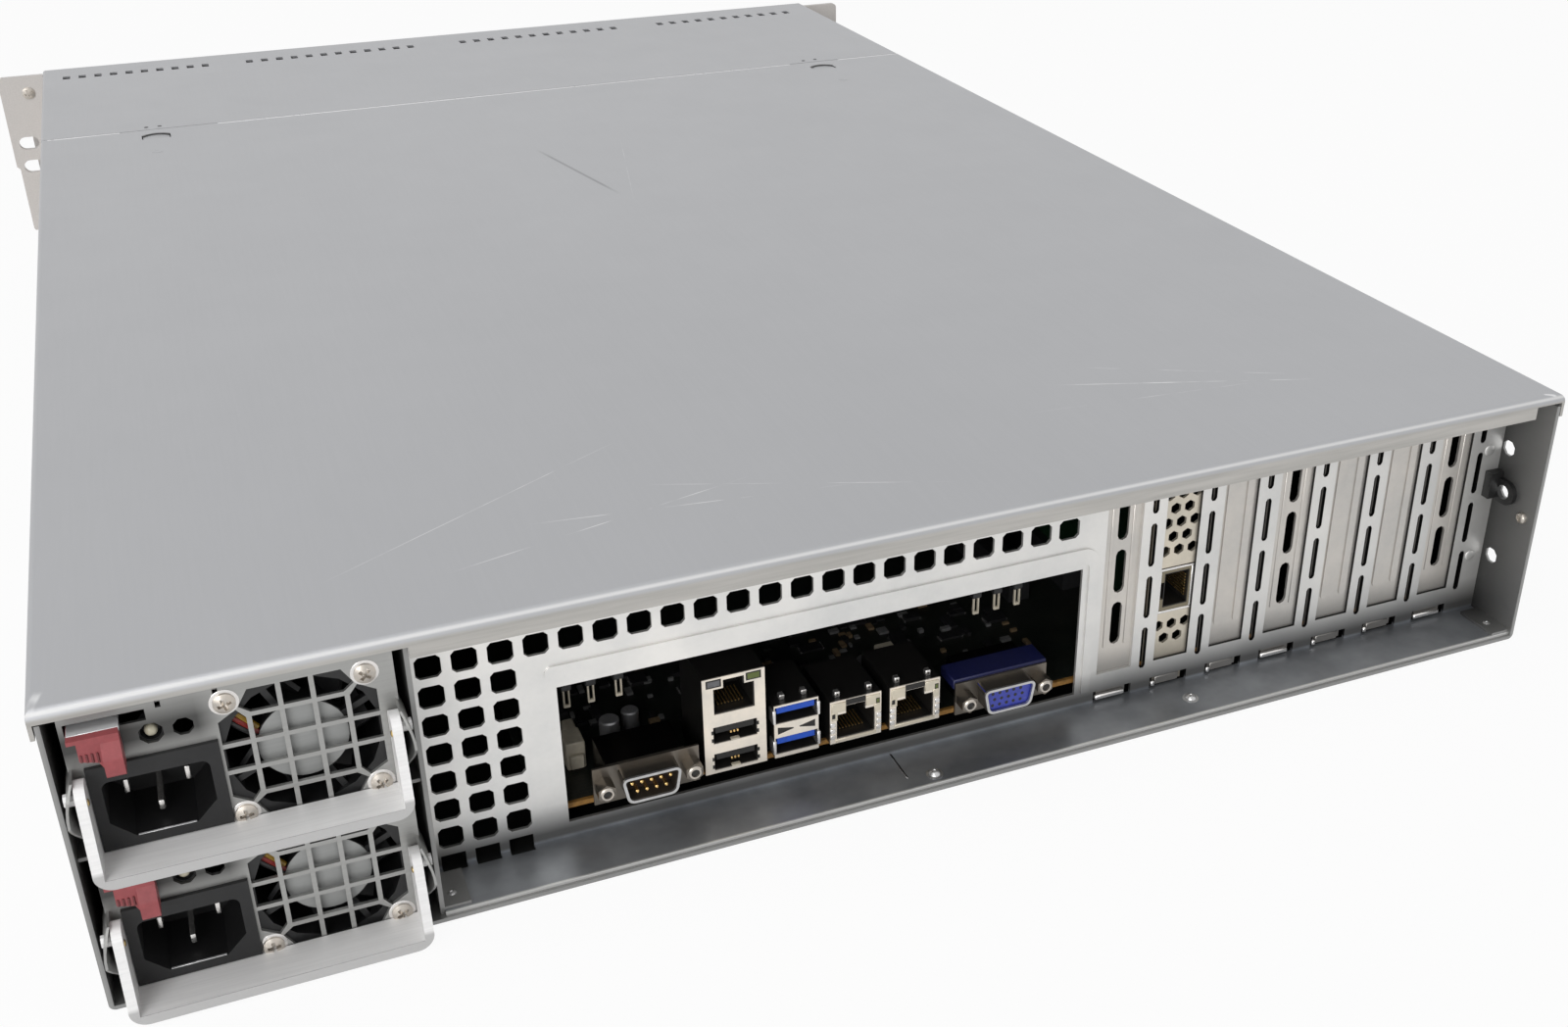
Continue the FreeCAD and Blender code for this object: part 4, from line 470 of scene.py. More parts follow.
SCRATCHES = (
    # x, y of one end, x, y of the other, width and strength, in millimetres
    (-78.0, 575.0, -156.0, 603.0, 0.35, 0.8),
    (-92.0, 566.0, -150.0, 596.0, 0.22, 0.7),
    (-60.0, 590.0, -142.0, 598.0, 0.20, 0.5),
    (6.0, 612.0, 96.0, 600.0, 0.30, 0.5),
    (30.0, 596.0, 122.0, 618.0, 0.25, 0.6),
    (60.0, 560.0, 150.0, 610.0, 0.22, 0.45),
    (-20.0, 622.0, 60.0, 590.0, 0.22, 0.5),
    (-10.0, 340.0, -30.0, 250.0, 0.18, 0.35),
    (215.5, 634.0, 217.8, 642.5, 1.3, 1.0),
    (-212.0, 640.0, -216.0, 642.0, 0.6, 0.8),
)


LONG_RUB = ((10.0, 251.0), (-7.0, 331.0), 0.9)
# X and Z limits of the painted shade laid black in the slits' cut walls
SLIT_SHADE_X = (-84.0, -82.0)
LEDGE_UNDER = (80.0, 80.5)
# Z range of the lip's painted dark reflection and stains, and Y range of its painted rim highlight
LIP_SHADE_AND_STAIN_Z, LIP_RIM_HIGHLIGHT = (2.6, 3.4), (641.3, 641.7)
TRAY_WALL_IN = (216.3, 216.6)
GREEN_LACQUER, GREEN_TRACE = (0.004, 0.022, 0.009), (0.05, 0.08, 0.03)


def scratch_mask(steel, start, end, width):
    """1 along a thin straight line between two places on the lid, and 0 elsewhere."""
    along = Vector((end[0] - start[0], end[1] - start[1]))
    length = along.length * MM
    along.normalize()
    right = steel.math("SUBTRACT", steel.axis("X"), start[0] * MM)
    back = steel.math("SUBTRACT", steel.axis("Y"), start[1] * MM)
    run = steel.math("ADD", steel.product(right, along.x), steel.product(back, along.y))
    off = steel.math("SUBTRACT", steel.product(right, along.y), steel.product(back, along.x))
    middle = steel.math("ABSOLUTE", steel.math("SUBTRACT", run, length / 2))
    inside = steel.range(middle, length * 0.3, length * 0.5, 1.0, 0.0)
    near = steel.range(steel.math("ABSOLUTE", off), width * MM * 0.5, width * MM, 1.0, 0.0)
    return steel.product(inside, near)


def cover_finish(settings):
    """The lid's satin plated sheet: scratches, one long dark rub, a brushed lip and a painted highlight along
    the rear bend.
    """
    steel = plated_finish("cover_steel", tuple(settings.cover_colour), 0.62, 0.42, 0.02, 0.05, 0.0, 6.0, 0.02)
    marks = None
    for x0, y0, x1, y1, width, strength in SCRATCHES:
        line = scratch_mask(steel, (x0, y0), (x1, y1), width)
        line = steel.product(line, strength * settings.scratch_strength)
        marks = line if marks is None else steel.math("MAXIMUM", marks, line)
    broken = steel.range(steel.noise(55.0, 3.0), 0.42, 0.58, 0.0, 1.0)
    steel.lay(steel.product(marks, broken), (0.92, 0.92, 0.92))
    steel.lay(steel.product(scratch_mask(steel, *LONG_RUB), 0.55), (0.16, 0.16, 0.17))
    top, rear = COVER_HIGH.z, COVER_HIGH.y
    lines = steel.range(steel.noise(500.0, 3.0, 0.6, (0.05, 1.0, 1.0)), 0.3, 0.7, 0.0, 1.0)
    brushed = steel.tint(lines, (0.40, 0.39, 0.37), (0.50, 0.485, 0.46))
    lip = steel.product(steel.band("Z", top - 2.4, top - 1.6, 1, 0), steel.band("Y", rear - 1.5, rear - 1.0))
    steel.lay(lip, brushed)
    # painted highlight: a light band laid along the rear bend, where the bent edge catches the light
    bend_highlight = steel.product(steel.band("Z", top - 1.3, top - 0.9), steel.band("Y", rear - 1.3, rear - 0.8))
    steel.lay(bend_highlight, (0.66, 0.66, 0.66))
    return steel


def panel_finish(settings):
    """The rear panel's sheet: a lit copy of the shell colour, with painted shade towards its -X end and its
    foot, black painted shade in the slits' cut walls, a floor lip painted dark for the dark it reflects over
    real stains, and a painted highlight on the lip's rim.
    """
    # painted light: the panel's sheet is a lit copy of the shell colour, 1.3 times as bright
    colour = shade(settings.shell_colour, 1.3)
    steel = plated_finish("panel_steel", colour, 0.70, 0.40, 0.14, 0.06, 0.02, 24.0)
    # painted shade: the sheet is laid darker towards its -X end
    steel.lay(steel.band("X", -215.0, 20.0, 0.42, 0.0), shade(colour, 0.5))
    # painted shade: the sheet is laid darker towards its foot, for the shade and dark reflection under the
    # window and slots
    steel.lay(steel.band("Z", 5.0, 14.0, 0.95, 0.0), shade(colour, 0.14))
    # painted shade: the cut walls of the slits by the slots are laid black
    cut_wall_shade = steel.band("Y", PANEL_FACE - 0.1, PANEL_FACE - 0.05, 1, 0)
    by_slots = steel.band("X", *SLIT_SHADE_X, 1, 0)
    steel.lay(steel.product(cut_wall_shade, by_slots, steel.band("Z", *LEDGE_UNDER, 1, 0)), (0.02, 0.02, 0.02))
    # partly painted reflection: the floor lip is painted dark for the dark it reflects, clouded with real
    # stains
    lip = steel.band("Z", *LIP_SHADE_AND_STAIN_Z, 1, 0)
    clouds = steel.range(steel.noise(30.0, 4.0, 0.6), 0.35, 0.65, 0.0, 1.0)
    steel.lay(lip, steel.tint(clouds, (0.195, 0.205, 0.22), (0.345, 0.36, 0.382)))
    # painted highlight: a light line along the lip's rear rim
    steel.lay(steel.product(lip, steel.band("Y", *LIP_RIM_HIGHLIGHT)), shade(settings.shell_colour, 1.2))
    return steel


def slot_cover_finish(name, colour, metal, cloud_scale):
    """Slot cover plating, with painted shade towards its foot, and laid black as painted shade where the
    panel's strips hide it.
    """
    steel = plated_finish(name, colour, metal, 0.36, 0.12, 0.06, 0.03, cloud_scale)
    # painted shade: darker towards the foot
    steel.lay(steel.band("Z", 8.0, 20.0, 0.75, 0.0), shade(colour, 0.2))
    # painted shade: the edges behind the panel's strips, seen only through the slits, are laid black
    along = steel.math("SUBTRACT", steel.axis("X"), SLOT_FIRST * MM)
    off_centre = steel.math("PINGPONG", along, SLOT_PITCH / 2 * MM)
    strip = steel.range(off_centre, 6.4 * MM, 6.6 * MM, 0.0, 1.0)
    outside = steel.band("Y", PANEL_FACE - 1.3, PANEL_FACE - 1.2)
    steel.lay(steel.product(strip, outside), (0.006, 0.006, 0.006))
    return steel


def tray_finish(settings):
    """The tray's sheet, a shaded copy of the shell colour, with painted shade on its inner side beside the
    rear panel.
    """
    # painted shade: the tray's sheet is a shaded copy of the shell colour, at 0.52 of it
    colour = shade(settings.shell_colour, 0.52)
    steel = plated_finish("tray_steel", colour, 0.72, 0.42, 0.12, 0.05)
    # painted shade on the inner wall faces near the rear panel
    beside_panel_shade = steel.band("Y", PANEL_FACE - 1, PANEL_FACE + 22, 0.95, 0.0)
    low, high = TRAY_WALL_IN
    inner = steel.range(steel.math("ABSOLUTE", steel.axis("X")), low * MM, high * MM, 1.0, 0.0)
    steel.lay(steel.product(beside_panel_shade, inner), shade(colour, 0.06))
    return steel


def shell_finish(name, colour, depth_face, inner, metal=0.75):
    """Connector plating that is bright on its front plate, with painted shade on all of it that lies behind.
    """
    shell = plated_finish(name, colour, metal, 0.33, 0.12, 0.05, 0.04, 120.0)
    # painted shade: everything more than half a millimetre behind the face is laid in the given dark colour
    shell.lay(shell.band("Y", depth_face - 0.5, depth_face - 0.2, 1, 0), inner)
    return shell


def brushed_finish(name, colour, along, metal=0.8, rough=0.35, depth=0.12):
    """Metal with fine brush lines along one axis."""
    brushed = Finish(name, colour, metal, rough)
    stretch = tuple(0.03 if letter == along else 1.0 for letter in "xyz")
    lines = brushed.noise(1400.0, 3.0, 0.6, stretch)
    brushed.mottle(lines, depth)
    brushed.gloss(brushed.range(lines, 0.3, 0.7, rough - 0.05, rough + 0.08))
    brushed.bump(lines, 0.08, 0.00004)
    return brushed


def supply_finish():
    """The power supplies' plating, with painted shade and reflection on the upper face over each mains inlet.
    """
    colour = (0.36, 0.36, 0.35)
    steel = brushed_finish("psu_steel", colour, "x", 0.72, 0.42, 0.06)
    inlet_face_shades = []
    for number in (1, 2):
        base, face, fan = supply(number)
        inlet_face_shades.append(steel.product(
            steel.band("Z", base + 26.0, base + 31.0), steel.band("Z", base + 34.0, base + 39.5, 1.0, 0.25),
            steel.band("Z", base + 40.2, base + 40.3, 1, 0)))
    dull = steel.math("MAXIMUM", *inlet_face_shades)
    front = steel.band("Y", face - 1.5, face - 1.3)
    # painted shade and reflection: the upper face beside each inlet is laid darker, for the dark lip it
    # reflects
    steel.lay(steel.product(dull, steel.band("X", 178.0, 184.0, 0.0, 0.9), front), shade(colour, 0.12))
    return steel


def bail_finish(settings):
    """The bails' satin silver, with painted shade along the bar's outer edge."""
    silver = brushed_finish("bail_silver", tuple(settings.bail_colour), "x", 0.12, 0.42, 0.05)
    edge = span_of("psu_1_handle")[1].y
    # painted shade: the bar's outer edge is laid darker than its top
    silver.lay(silver.band("Y", edge - 0.3, edge - 0.1), shade(settings.bail_colour, 0.58))
    return silver


def plastic_finish(name, colour, rough=0.5, grain=700.0, depth=0.15):
    """Moulded plastic with a fine spark-eroded grain."""
    plastic = Finish(name, colour, 0.0, rough)
    speck = plastic.noise(grain, 3.0, 0.6)
    plastic.mottle(speck, depth)
    plastic.gloss(plastic.range(plastic.noise(90.0, 3.0), 0.3, 0.7, rough - 0.06, rough + 0.06))
    plastic.bump(speck, 0.12, 0.0001)
    return plastic


def board_finish(name, colour, trace, light_trace=0.5):
    """A circuit board: dark lacquer, faint copper runs and rows of tiny pads."""
    board = Finish(name, colour, 0.0, 0.38)
    cells = board.nodes.new("ShaderNodeTexBrick")
    for socket, value in (
            ("Scale", 1.0), ("Color1", (0, 0, 0, 1)), ("Color2", (0.5, 0.5, 0.5, 1)),
            ("Mortar", (1, 1, 1, 1)), ("Mortar Size", 0.05), ("Brick Width", 3.0), ("Row Height", 1.0)):
        cells.inputs[socket].default_value = value
    board.links.new(board.mapped((700, 700, 700)), cells.inputs["Vector"])
    patches = board.range(board.noise(60.0, 2.0), 0.45, 0.55, 0.0, light_trace)
    board.paint(board.tint(board.product(cells.outputs["Fac"], patches), colour, trace))
    board.gloss(board.range(board.noise(200.0, 2.0), 0.3, 0.7, 0.3, 0.5))
    board.bump(cells.outputs["Fac"], 0.1, 0.00005)
    return board


def card_finish():
    """The network card: a green board whose jack is warm grey."""
    card = board_finish("card_green", GREEN_LACQUER, GREEN_TRACE)
    card.lay(card.band("Y", PANEL_FACE - 16, PANEL_FACE - 15.9), (0.20, 0.17, 0.11))
    return card


FINISHES = {}


def make_finishes(scene):
    sheet, psu, ports = scene.rack_sheet, scene.rack_supply, scene.rack_ports
    shell = tuple(sheet.shell_colour)
    made = {
        "cover": cover_finish(sheet),
        "panel": panel_finish(sheet),
        "tray": tray_finish(sheet),
        # painted shade: the inner sheets are a darker copy of the shell colour, at 0.45 of it
        "shaded_inner_steel": plated_finish("shaded_inner_steel", shade(shell, 0.45), 0.7, 0.45, 0.15, 0.05),
        "latch_steel": plated_finish("latch_steel", shade(sheet.cover_colour, 0.96), 0.6, 0.42, 0.05, 0.04),
        "slot_cover": slot_cover_finish("slot_cover_steel", (0.56, 0.545, 0.52), 0.65, 40.0),
        "bracket_nickel": slot_cover_finish("bracket_nickel", (0.62, 0.575, 0.485), 0.6, 60.0),
        "port_nickel": shell_finish(
            "port_nickel", (0.84, 0.785, 0.70), PORT_FACE, (0.022, 0.021, 0.02), 0.55),
        # painted reflection: the D connectors' flanges are a dark copy of the port nickel, for the dark they
        # reflect
        "painted_dark_flange_nickel": shell_finish(
            "painted_dark_flange_nickel", (0.17, 0.155, 0.135), PORT_FACE, (0.008, 0.007, 0.007), 0.85),
        "bright_nickel": plated_finish(
            "bright_nickel", (0.72, 0.71, 0.70), 0.9, 0.25, 0.1, 0.04, 0.02, 200.0),
        "psu_steel": supply_finish(),
        "bail": bail_finish(psu),
        "rivet": plated_finish("rivet_zinc", (0.50, 0.50, 0.50), 0.85, 0.32, 0.15, 0.05, 0.0, 300.0),
        "screw": plated_finish("screw_nickel", (0.50, 0.47, 0.43), 0.85, 0.34, 0.16, 0.03, 0.04, 400.0),
        "brass": plated_finish("brass_pin", (0.55, 0.40, 0.16), 0.9, 0.3, 0.1, 0.03, 0.02, 300.0),
        "gold": plated_finish("contact_gold", tuple(ports.gold), 0.95, 0.28, 0.08, 0.02, 0.0, 300.0),
        "aluminium": brushed_finish("heatsink_aluminium", (0.62, 0.63, 0.64), "y", 0.85, 0.38, 0.08),
        "ear_paint": plastic_finish("ear_paint", (0.63, 0.60, 0.575), 0.42, 1200.0, 0.05),
        "black_steel": plastic_finish("black_steel", (0.012, 0.012, 0.012), 0.4, 500.0, 0.2),
        "black_plastic": plastic_finish("black_plastic", (0.018, 0.018, 0.019), 0.42, 900.0, 0.25),
        "inlet_plastic": plastic_finish("inlet_plastic", (0.005, 0.005, 0.0055), 0.55, 700.0, 0.25),
        "fan_plastic": plastic_finish("fan_plastic", (0.007, 0.007, 0.0075), 0.45, 500.0, 0.2),
        "lever_plastic": plastic_finish("lever_plastic", (0.028, 0.028, 0.03), 0.45, 900.0, 0.2),
        "maroon": plastic_finish("maroon_plastic", tuple(psu.tab_colour), 0.42, 500.0, 0.12),
        "maroon_dark": plastic_finish("maroon_rib", shade(psu.tab_colour, 0.5), 0.45, 500.0, 0.12),
        "blue_plastic": plastic_finish("port_blue", tuple(ports.blue), 0.4, 600.0, 0.15),
        "cream_nickel": plated_finish("cream_nickel", (0.66, 0.61, 0.50), 0.45, 0.4, 0.08, 0.03, 0.03, 200.0),
        "usb_blue": plastic_finish("usb_blue", (0.008, 0.075, 0.50), 0.4, 600.0, 0.15),
        "navy_plastic": plastic_finish("port_navy", shade(ports.blue, 0.16), 0.5, 600.0, 0.15),
        # painted highlight: a bright finish for thin strips laid where edges catch the light
        "painted_edge_highlight": plated_finish("painted_edge_highlight", (0.80, 0.80, 0.81), 0.5, 0.3, 0.05, 0.03, 0.0, 20.0),
        "cream_plastic": plastic_finish("connector_cream", (0.55, 0.50, 0.40), 0.5, 600.0, 0.08),
        "dark_insert": plastic_finish("port_black", (0.008, 0.007, 0.006), 0.5, 600.0, 0.2),
        "rust_insert": plastic_finish("serial_insert", (0.022, 0.010, 0.006), 0.5, 600.0, 0.2),
        "board": board_finish("board_black", (0.010, 0.012, 0.010), (0.05, 0.045, 0.03)),
        "green_board": board_finish("board_green", GREEN_LACQUER, GREEN_TRACE),
        "card": card_finish(),
        "board_edge": plastic_finish("board_edge", (0.24, 0.12, 0.025), 0.6, 500.0, 0.35),
        "chip": plastic_finish("chip_black", (0.014, 0.014, 0.015), 0.42, 800.0, 0.2),
        "tan_part": plastic_finish("small_part_tan", (0.20, 0.14, 0.08), 0.5, 500.0, 0.2),
        "grey_part": plastic_finish("small_part_grey", (0.16, 0.16, 0.16), 0.5, 500.0, 0.2),
        "can": brushed_finish("capacitor_can", (0.40, 0.40, 0.41), "z", 0.7, 0.35, 0.08),
        "foil": brushed_finish("hub_foil", (0.30, 0.305, 0.30), "x", 0.25, 0.42, 0.04),
        "red_wire": plastic_finish("wire_red", (0.17, 0.008, 0.006), 0.4, 500.0, 0.1),
        "yellow_wire": plastic_finish("wire_yellow", (0.24, 0.14, 0.012), 0.4, 500.0, 0.1),
        "green_lamp": plastic_finish("lamp_green", (0.10, 0.13, 0.02), 0.3, 500.0, 0.1),
        "grey_lamp": plastic_finish("lamp_grey", (0.12, 0.12, 0.13), 0.3, 500.0, 0.1),
        "blue_lamp": plastic_finish("lamp_blue", (0.05, 0.12, 0.32), 0.3, 500.0, 0.1),
        "milky_lamp": plastic_finish("lamp_milky", (0.50, 0.47, 0.36), 0.25, 500.0, 0.08),
    }
    FINISHES.clear()
    FINISHES.update(made)


SOLID_FINISHES = {
    "chassis_tray": "tray", "rear_panel": "panel", "psu_bay": "shaded_inner_steel", "drive_cage": "shaded_inner_steel",
    "fan_bulkhead": "shaded_inner_steel", "front_deck": "cover", "top_cover": "cover",
    "cover_latch_right": "latch_steel", "cover_latch_left": "latch_steel",
    "slot_covers_vented": "slot_cover", "slot_covers_ribbed": "slot_cover", "nic_bracket": "bracket_nickel",
    "nic_card": "card", "drive_backplane": "green_board", "memory_modules": "green_board",
    "motherboard": "board", "cpu_heatsinks": "aluminium", "expansion_sockets": "black_plastic",
    "serial_port": "painted_dark_flange_nickel", "vga_port": "painted_dark_flange_nickel", "lan_usb_stack": "port_nickel",
    "usb3_stack": "port_nickel", "lan_jacks": "port_nickel", "lock_loop": "black_steel",
    "rack_ear_right": "ear_paint", "rack_ear_left": "ear_paint", "pull_handles": "ear_paint",
    "fan_frames": "fan_plastic", "power_button": "lever_plastic",
}
SUPPLY_FINISHES = {
    "case": "psu_steel", "inlet": "inlet_plastic", "fan_frame": "fan_plastic", "fan_rotor": "fan_plastic",
    "handle": "bail", "latch": "maroon",
}


class RACK_OT_finish_solids(bpy.types.Operator):
    """Make every finish, and dress the frame's solids in them"""
    bl_idname = "rack.finish_solids"
    bl_label = "Finish the Solids"

    def execute(self, context):
        make_finishes(context.scene)
        wanted = dict(SOLID_FINISHES)
        for number in (1, 2):
            for piece, name in SUPPLY_FINISHES.items():
                wanted[f"psu_{number}" + "_" + piece] = name
        for number in range(1, 9):
            wanted[f"drive_carrier_{number}"] = "black_plastic"
            wanted[f"carrier_lever_{number}"] = "lever_plastic"
        for number in range(1, 4):
            wanted[f"fan_rotor_{number}"] = "fan_plastic"
        for node, solid in NODES.items():
            if node not in wanted:
                raise RuntimeError("no finish for " + node)
            solid.data.materials.clear()
            solid.data.materials.append(FINISHES[wanted[node]].material)
        return {"FINISHED"}


# ---- shell fittings ---------------------------------------------------------------------------------------

RIVET_CROWN = ((0, 1.0), (0.35, 1.05), (0.5, 1.3))
LIP_RIVETS = ((132.0, 636.0), (-8.0, 638.0), (-98.0, 634.0), (-212.0, 636.0))
SIDE_SCREW_Y, SIDE_SCREW_Z = 638.0, 43.0
SIDE_SCREW_SHAPE = ((0, 0), (1.9, 0), (1.9, 0.7), (1.5, 1.2), (0.9, 1.4), (0.75, 1.0), (0, 0.9))
BUMP_IN, BUMP_HEIGHTS = 5.0, (62.0, 23.0)
RIB_REACH, RIB_HALF, RIB_FOOT, RIB_TOP = 3.6, 0.5, 21.0, 74.0
LID_DIMPLES = ((169.0, 185.0), (-168.0, 187.0))
DIMPLE_SHAPE = ((0, 0), (2.6, 0), (2.6, 0.02), (2.0, 0.22), (1.2, 0.12), (0, 0.05))
DECK_PINS = ((172.0, 140.0), (166.0, 140.0), (-164.0, 140.5), (-171.0, 140.0))
PIN_SHAPE = ((0, 0), (1.0, 0), (0.9, 0.12), (0, 0.15))
SEAM_HIGHLIGHT_STRIPS = ((COVER_LOW.x + 1, -182.0), (-154.0, 140.0), (184.0, COVER_HIGH.x - 3))
LATCH_GAP_RADIUS, LATCH_GAP_HALF_TURN = 7.63, math.radians(56.3)
LATCH_GAP_AHEAD = 0.5


class RACK_OT_add_rivets(bpy.types.Operator):
    """Dome rivets along the rear lip, with the small screw in the side wall"""
    bl_idname = "rack.add_rivets"
    bl_label = "Rivets"

    def execute(self, context):
        radius = context.scene.rack_sheet.rivet_radius
        flange = radius + 0.8
        shape = [
            (0, 0), (flange, 0), (flange, 0.12), (radius, 0.2), (radius * 0.86, 0.8), (radius * 0.5, 1.2)]
        bm = bmesh.new()
        for x, y in LIP_RIVETS:
            add_turned(bm, shape + list(reversed(RIVET_CROWN)), (x, y, LIP_TOP), "z", 20)
        add_piece("lip_rivets", bm, "rivet")
        bm = bmesh.new()
        add_turned(bm, SIDE_SCREW_SHAPE, (WALL_LEFT, SIDE_SCREW_Y, SIDE_SCREW_Z), "x", 16)
        add_piece("side_screw", bm, "screw")
        bm = bmesh.new()
        for z in BUMP_HEIGHTS:
            add_dome(bm, (WALL_LEFT + BUMP_IN, PANEL_FACE, z), 2.0, 0.45, "y", 16, 0.05)
        add_piece("panel_bumps", bm, "panel")
        return {"FINISHED"}


class RACK_OT_add_slot_feet(bpy.types.Operator):
    """The ends of the slot brackets in the panel's foot slots, and the ribs of the vented covers"""
    bl_idname = "rack.add_slot_feet"
    bl_label = "Slot Feet"

    def execute(self, context):
        bright, dull, ribs = bmesh.new(), bmesh.new(), bmesh.new()
        face, back = PANEL_FACE, PANEL_FACE - BRACKET_SHEET
        for number in range(SLOT_COUNT):
            x = SLOT_FIRST - number * SLOT_PITCH
            if number not in VENTED_SLOTS:
                add_block(dull, (x - 4.0, face - 1.0, 2.7), (x + 4.6, face - 0.3, 5.6), 0.3)
                add_block(bright, (x + 5.0, face - 0.9, 2.8), (x + 6.3, face + 0.5, 4.6), 0.3)
                continue
            add_block(bright, (x - 4.2, face - 0.9, 3.1), (x + 6.2, face + 0.7, 4.7), 0.35)
            for side in (LEFT, RIGHT):
                rib = x + side * RIB_REACH
                add_block(
                    ribs, (rib - RIB_HALF, back - 0.05, RIB_FOOT),
                    (rib + RIB_HALF, back + 0.25, RIB_TOP), 0.22)
        add_piece("slot_feet_bright", bright, "bright_nickel")
        add_piece("slot_feet", dull, "slot_cover")
        add_piece("cover_ribs", ribs, "slot_cover")
        return {"FINISHED"}


class RACK_OT_add_lid_marks(bpy.types.Operator):
    """Small pressed dimples in the lid, the rivets of the front deck, painted highlights along the seam's
    edge, and painted shadows in front of the latches
    """
    bl_idname = "rack.add_lid_marks"
    bl_label = "Lid Marks"

    def crescent(self, bm, x, front, top):
        """The painted shadow in the gap in front of a push latch: a small black oblong swept along the gap's
        arc.
        """
        radius, half = LATCH_GAP_RADIUS, LATCH_GAP_HALF_TURN
        centre = at(x, front + radius, 0)
        start = Matrix.Rotation(-half, 3, "Z")
        corners = ((radius - 1.0, -0.25), (radius + 0.35, -0.25), (radius + 0.35, 0.02), (radius - 1.0, 0.02))
        verts = [bm.verts.new(centre + start @ at(0, -reach, top + lift)) for reach, lift in corners]
        edges = [bm.edges.new(pair) for pair in zip(verts, verts[1:] + verts[:1])]
        swept = bmesh.ops.spin(
            bm, geom=verts + edges, cent=centre, axis=(0, 0, 1), angle=2 * half, steps=16)["geom_last"]
        for ring in (edges, [item for item in swept if isinstance(item, bmesh.types.BMEdge)]):
            bmesh.ops.contextual_create(bm, geom=ring)

    def execute(self, context):
        top, seam = COVER_HIGH.z, COVER_LOW.y
        dimples, pins, highlight_strips, gaps = bmesh.new(), bmesh.new(), bmesh.new(), bmesh.new()
        for x, y in LID_DIMPLES:
            add_turned(dimples, DIMPLE_SHAPE, (x, y, top), "z", 20)
        for x, y in DECK_PINS:
            add_turned(pins, PIN_SHAPE, (x, y, top), "z", 12)
        # painted highlight: bright strips along the seam at the lid's front edge
        for start, end in SEAM_HIGHLIGHT_STRIPS:
            add_block(highlight_strips, (start, seam + 0.1, top - 0.3), (end, seam + 1.3, top + 0.07), 0.04)
        # painted shadow: black arcs laid just over the lid in front of each latch
        for side in ("left", "right"):
            latch = "cover_latch_" + side
            self.crescent(gaps, middle_of(latch)[0], span_of(latch)[0].y - LATCH_GAP_AHEAD, top)
        add_piece("lid_dimples", dimples, "cover", "cover")
        add_piece("deck_pins", pins, "black_steel")
        add_piece("seam_highlight", highlight_strips, "painted_edge_highlight", "cover")
        add_piece("latch_shadows", gaps, "black_steel", "cover")
        return {"FINISHED"}


# ---- power supplies ---------------------------------------------------------------------------------------

SCREW_TWISTS = (((RIGHT, 1), 0.3), ((LEFT, 1), 0.9), ((RIGHT, -1), 0.1), ((LEFT, -1), 0.6))
SEAT_PAST_SCREW = 0.75
PRONG_DEPTH, PRONG_XS, EARTH_X = 17.0, (202.3, 188.6), 195.6
LAMP_X, LAMP_UP, LAMP_IN = 194.1, 31.8, 1.0
WELL_SHAPE = ((2.45, -0.2), (2.9, -0.2), (2.9, -4.0), (0, -4.0), (0, -3.2), (2.45, -3.2), (2.45, -0.2))
LAMP_SHAPE = ((0, -3.2), (1.5, -3.2), (1.5, -0.6), (1.35, 0.0), (0.85, 0.5), (0, 0.7))
HUB_SHAPE = ((0, 0), (10.6, 0), (10.6, 0.12), (10.3, 0.2), (0, 0.2))
HUB_IN = 2.2
LEADS = (("red_wire", 0.0), ("yellow_wire", 1.9), ("fan_plastic", -1.9))
RIB_COUNT, RIB_PITCH, RIB_RISE = 4, 1.15, 0.28
PIN_ENDS = ((141.75, "x"), (209.85, "-x"))
PIN_BACK, PIN_UP = 6.1, 21.1


class RACK_OT_add_guard_screws(bpy.types.Operator):
    """Cross-head screws at the corners of each fan guard"""
    bl_idname = "rack.add_guard_screws"
    bl_label = "Guard Screws"

    def execute(self, context):
        settings = context.scene.rack_supply
        half = settings.screw_spacing / 2
        seat = settings.screw_radius + SEAT_PAST_SCREW
        seat_shape = ((0, 0), (seat, 0), (seat, 0.1), (seat - 0.2, 0.2), (0, 0.2))
        for number in (1, 2):
            base, face, fan = supply(number)
            screws, seats = bmesh.new(), bmesh.new()
            for (side, level), twist in SCREW_TWISTS:
                place = (fan.x + side * half, face, fan.z + level * half)
                add_cross_screw(screws, place, settings.screw_radius, 1.5, "y", twist, 1.2)
                add_turned(seats, seat_shape, place, "y", 24)
            add_piece(f"guard_screws_{number}", screws, "screw", f"psu_{number}")
            add_piece(f"screw_seats_{number}", seats, "bright_nickel", f"psu_{number}")
        return {"FINISHED"}


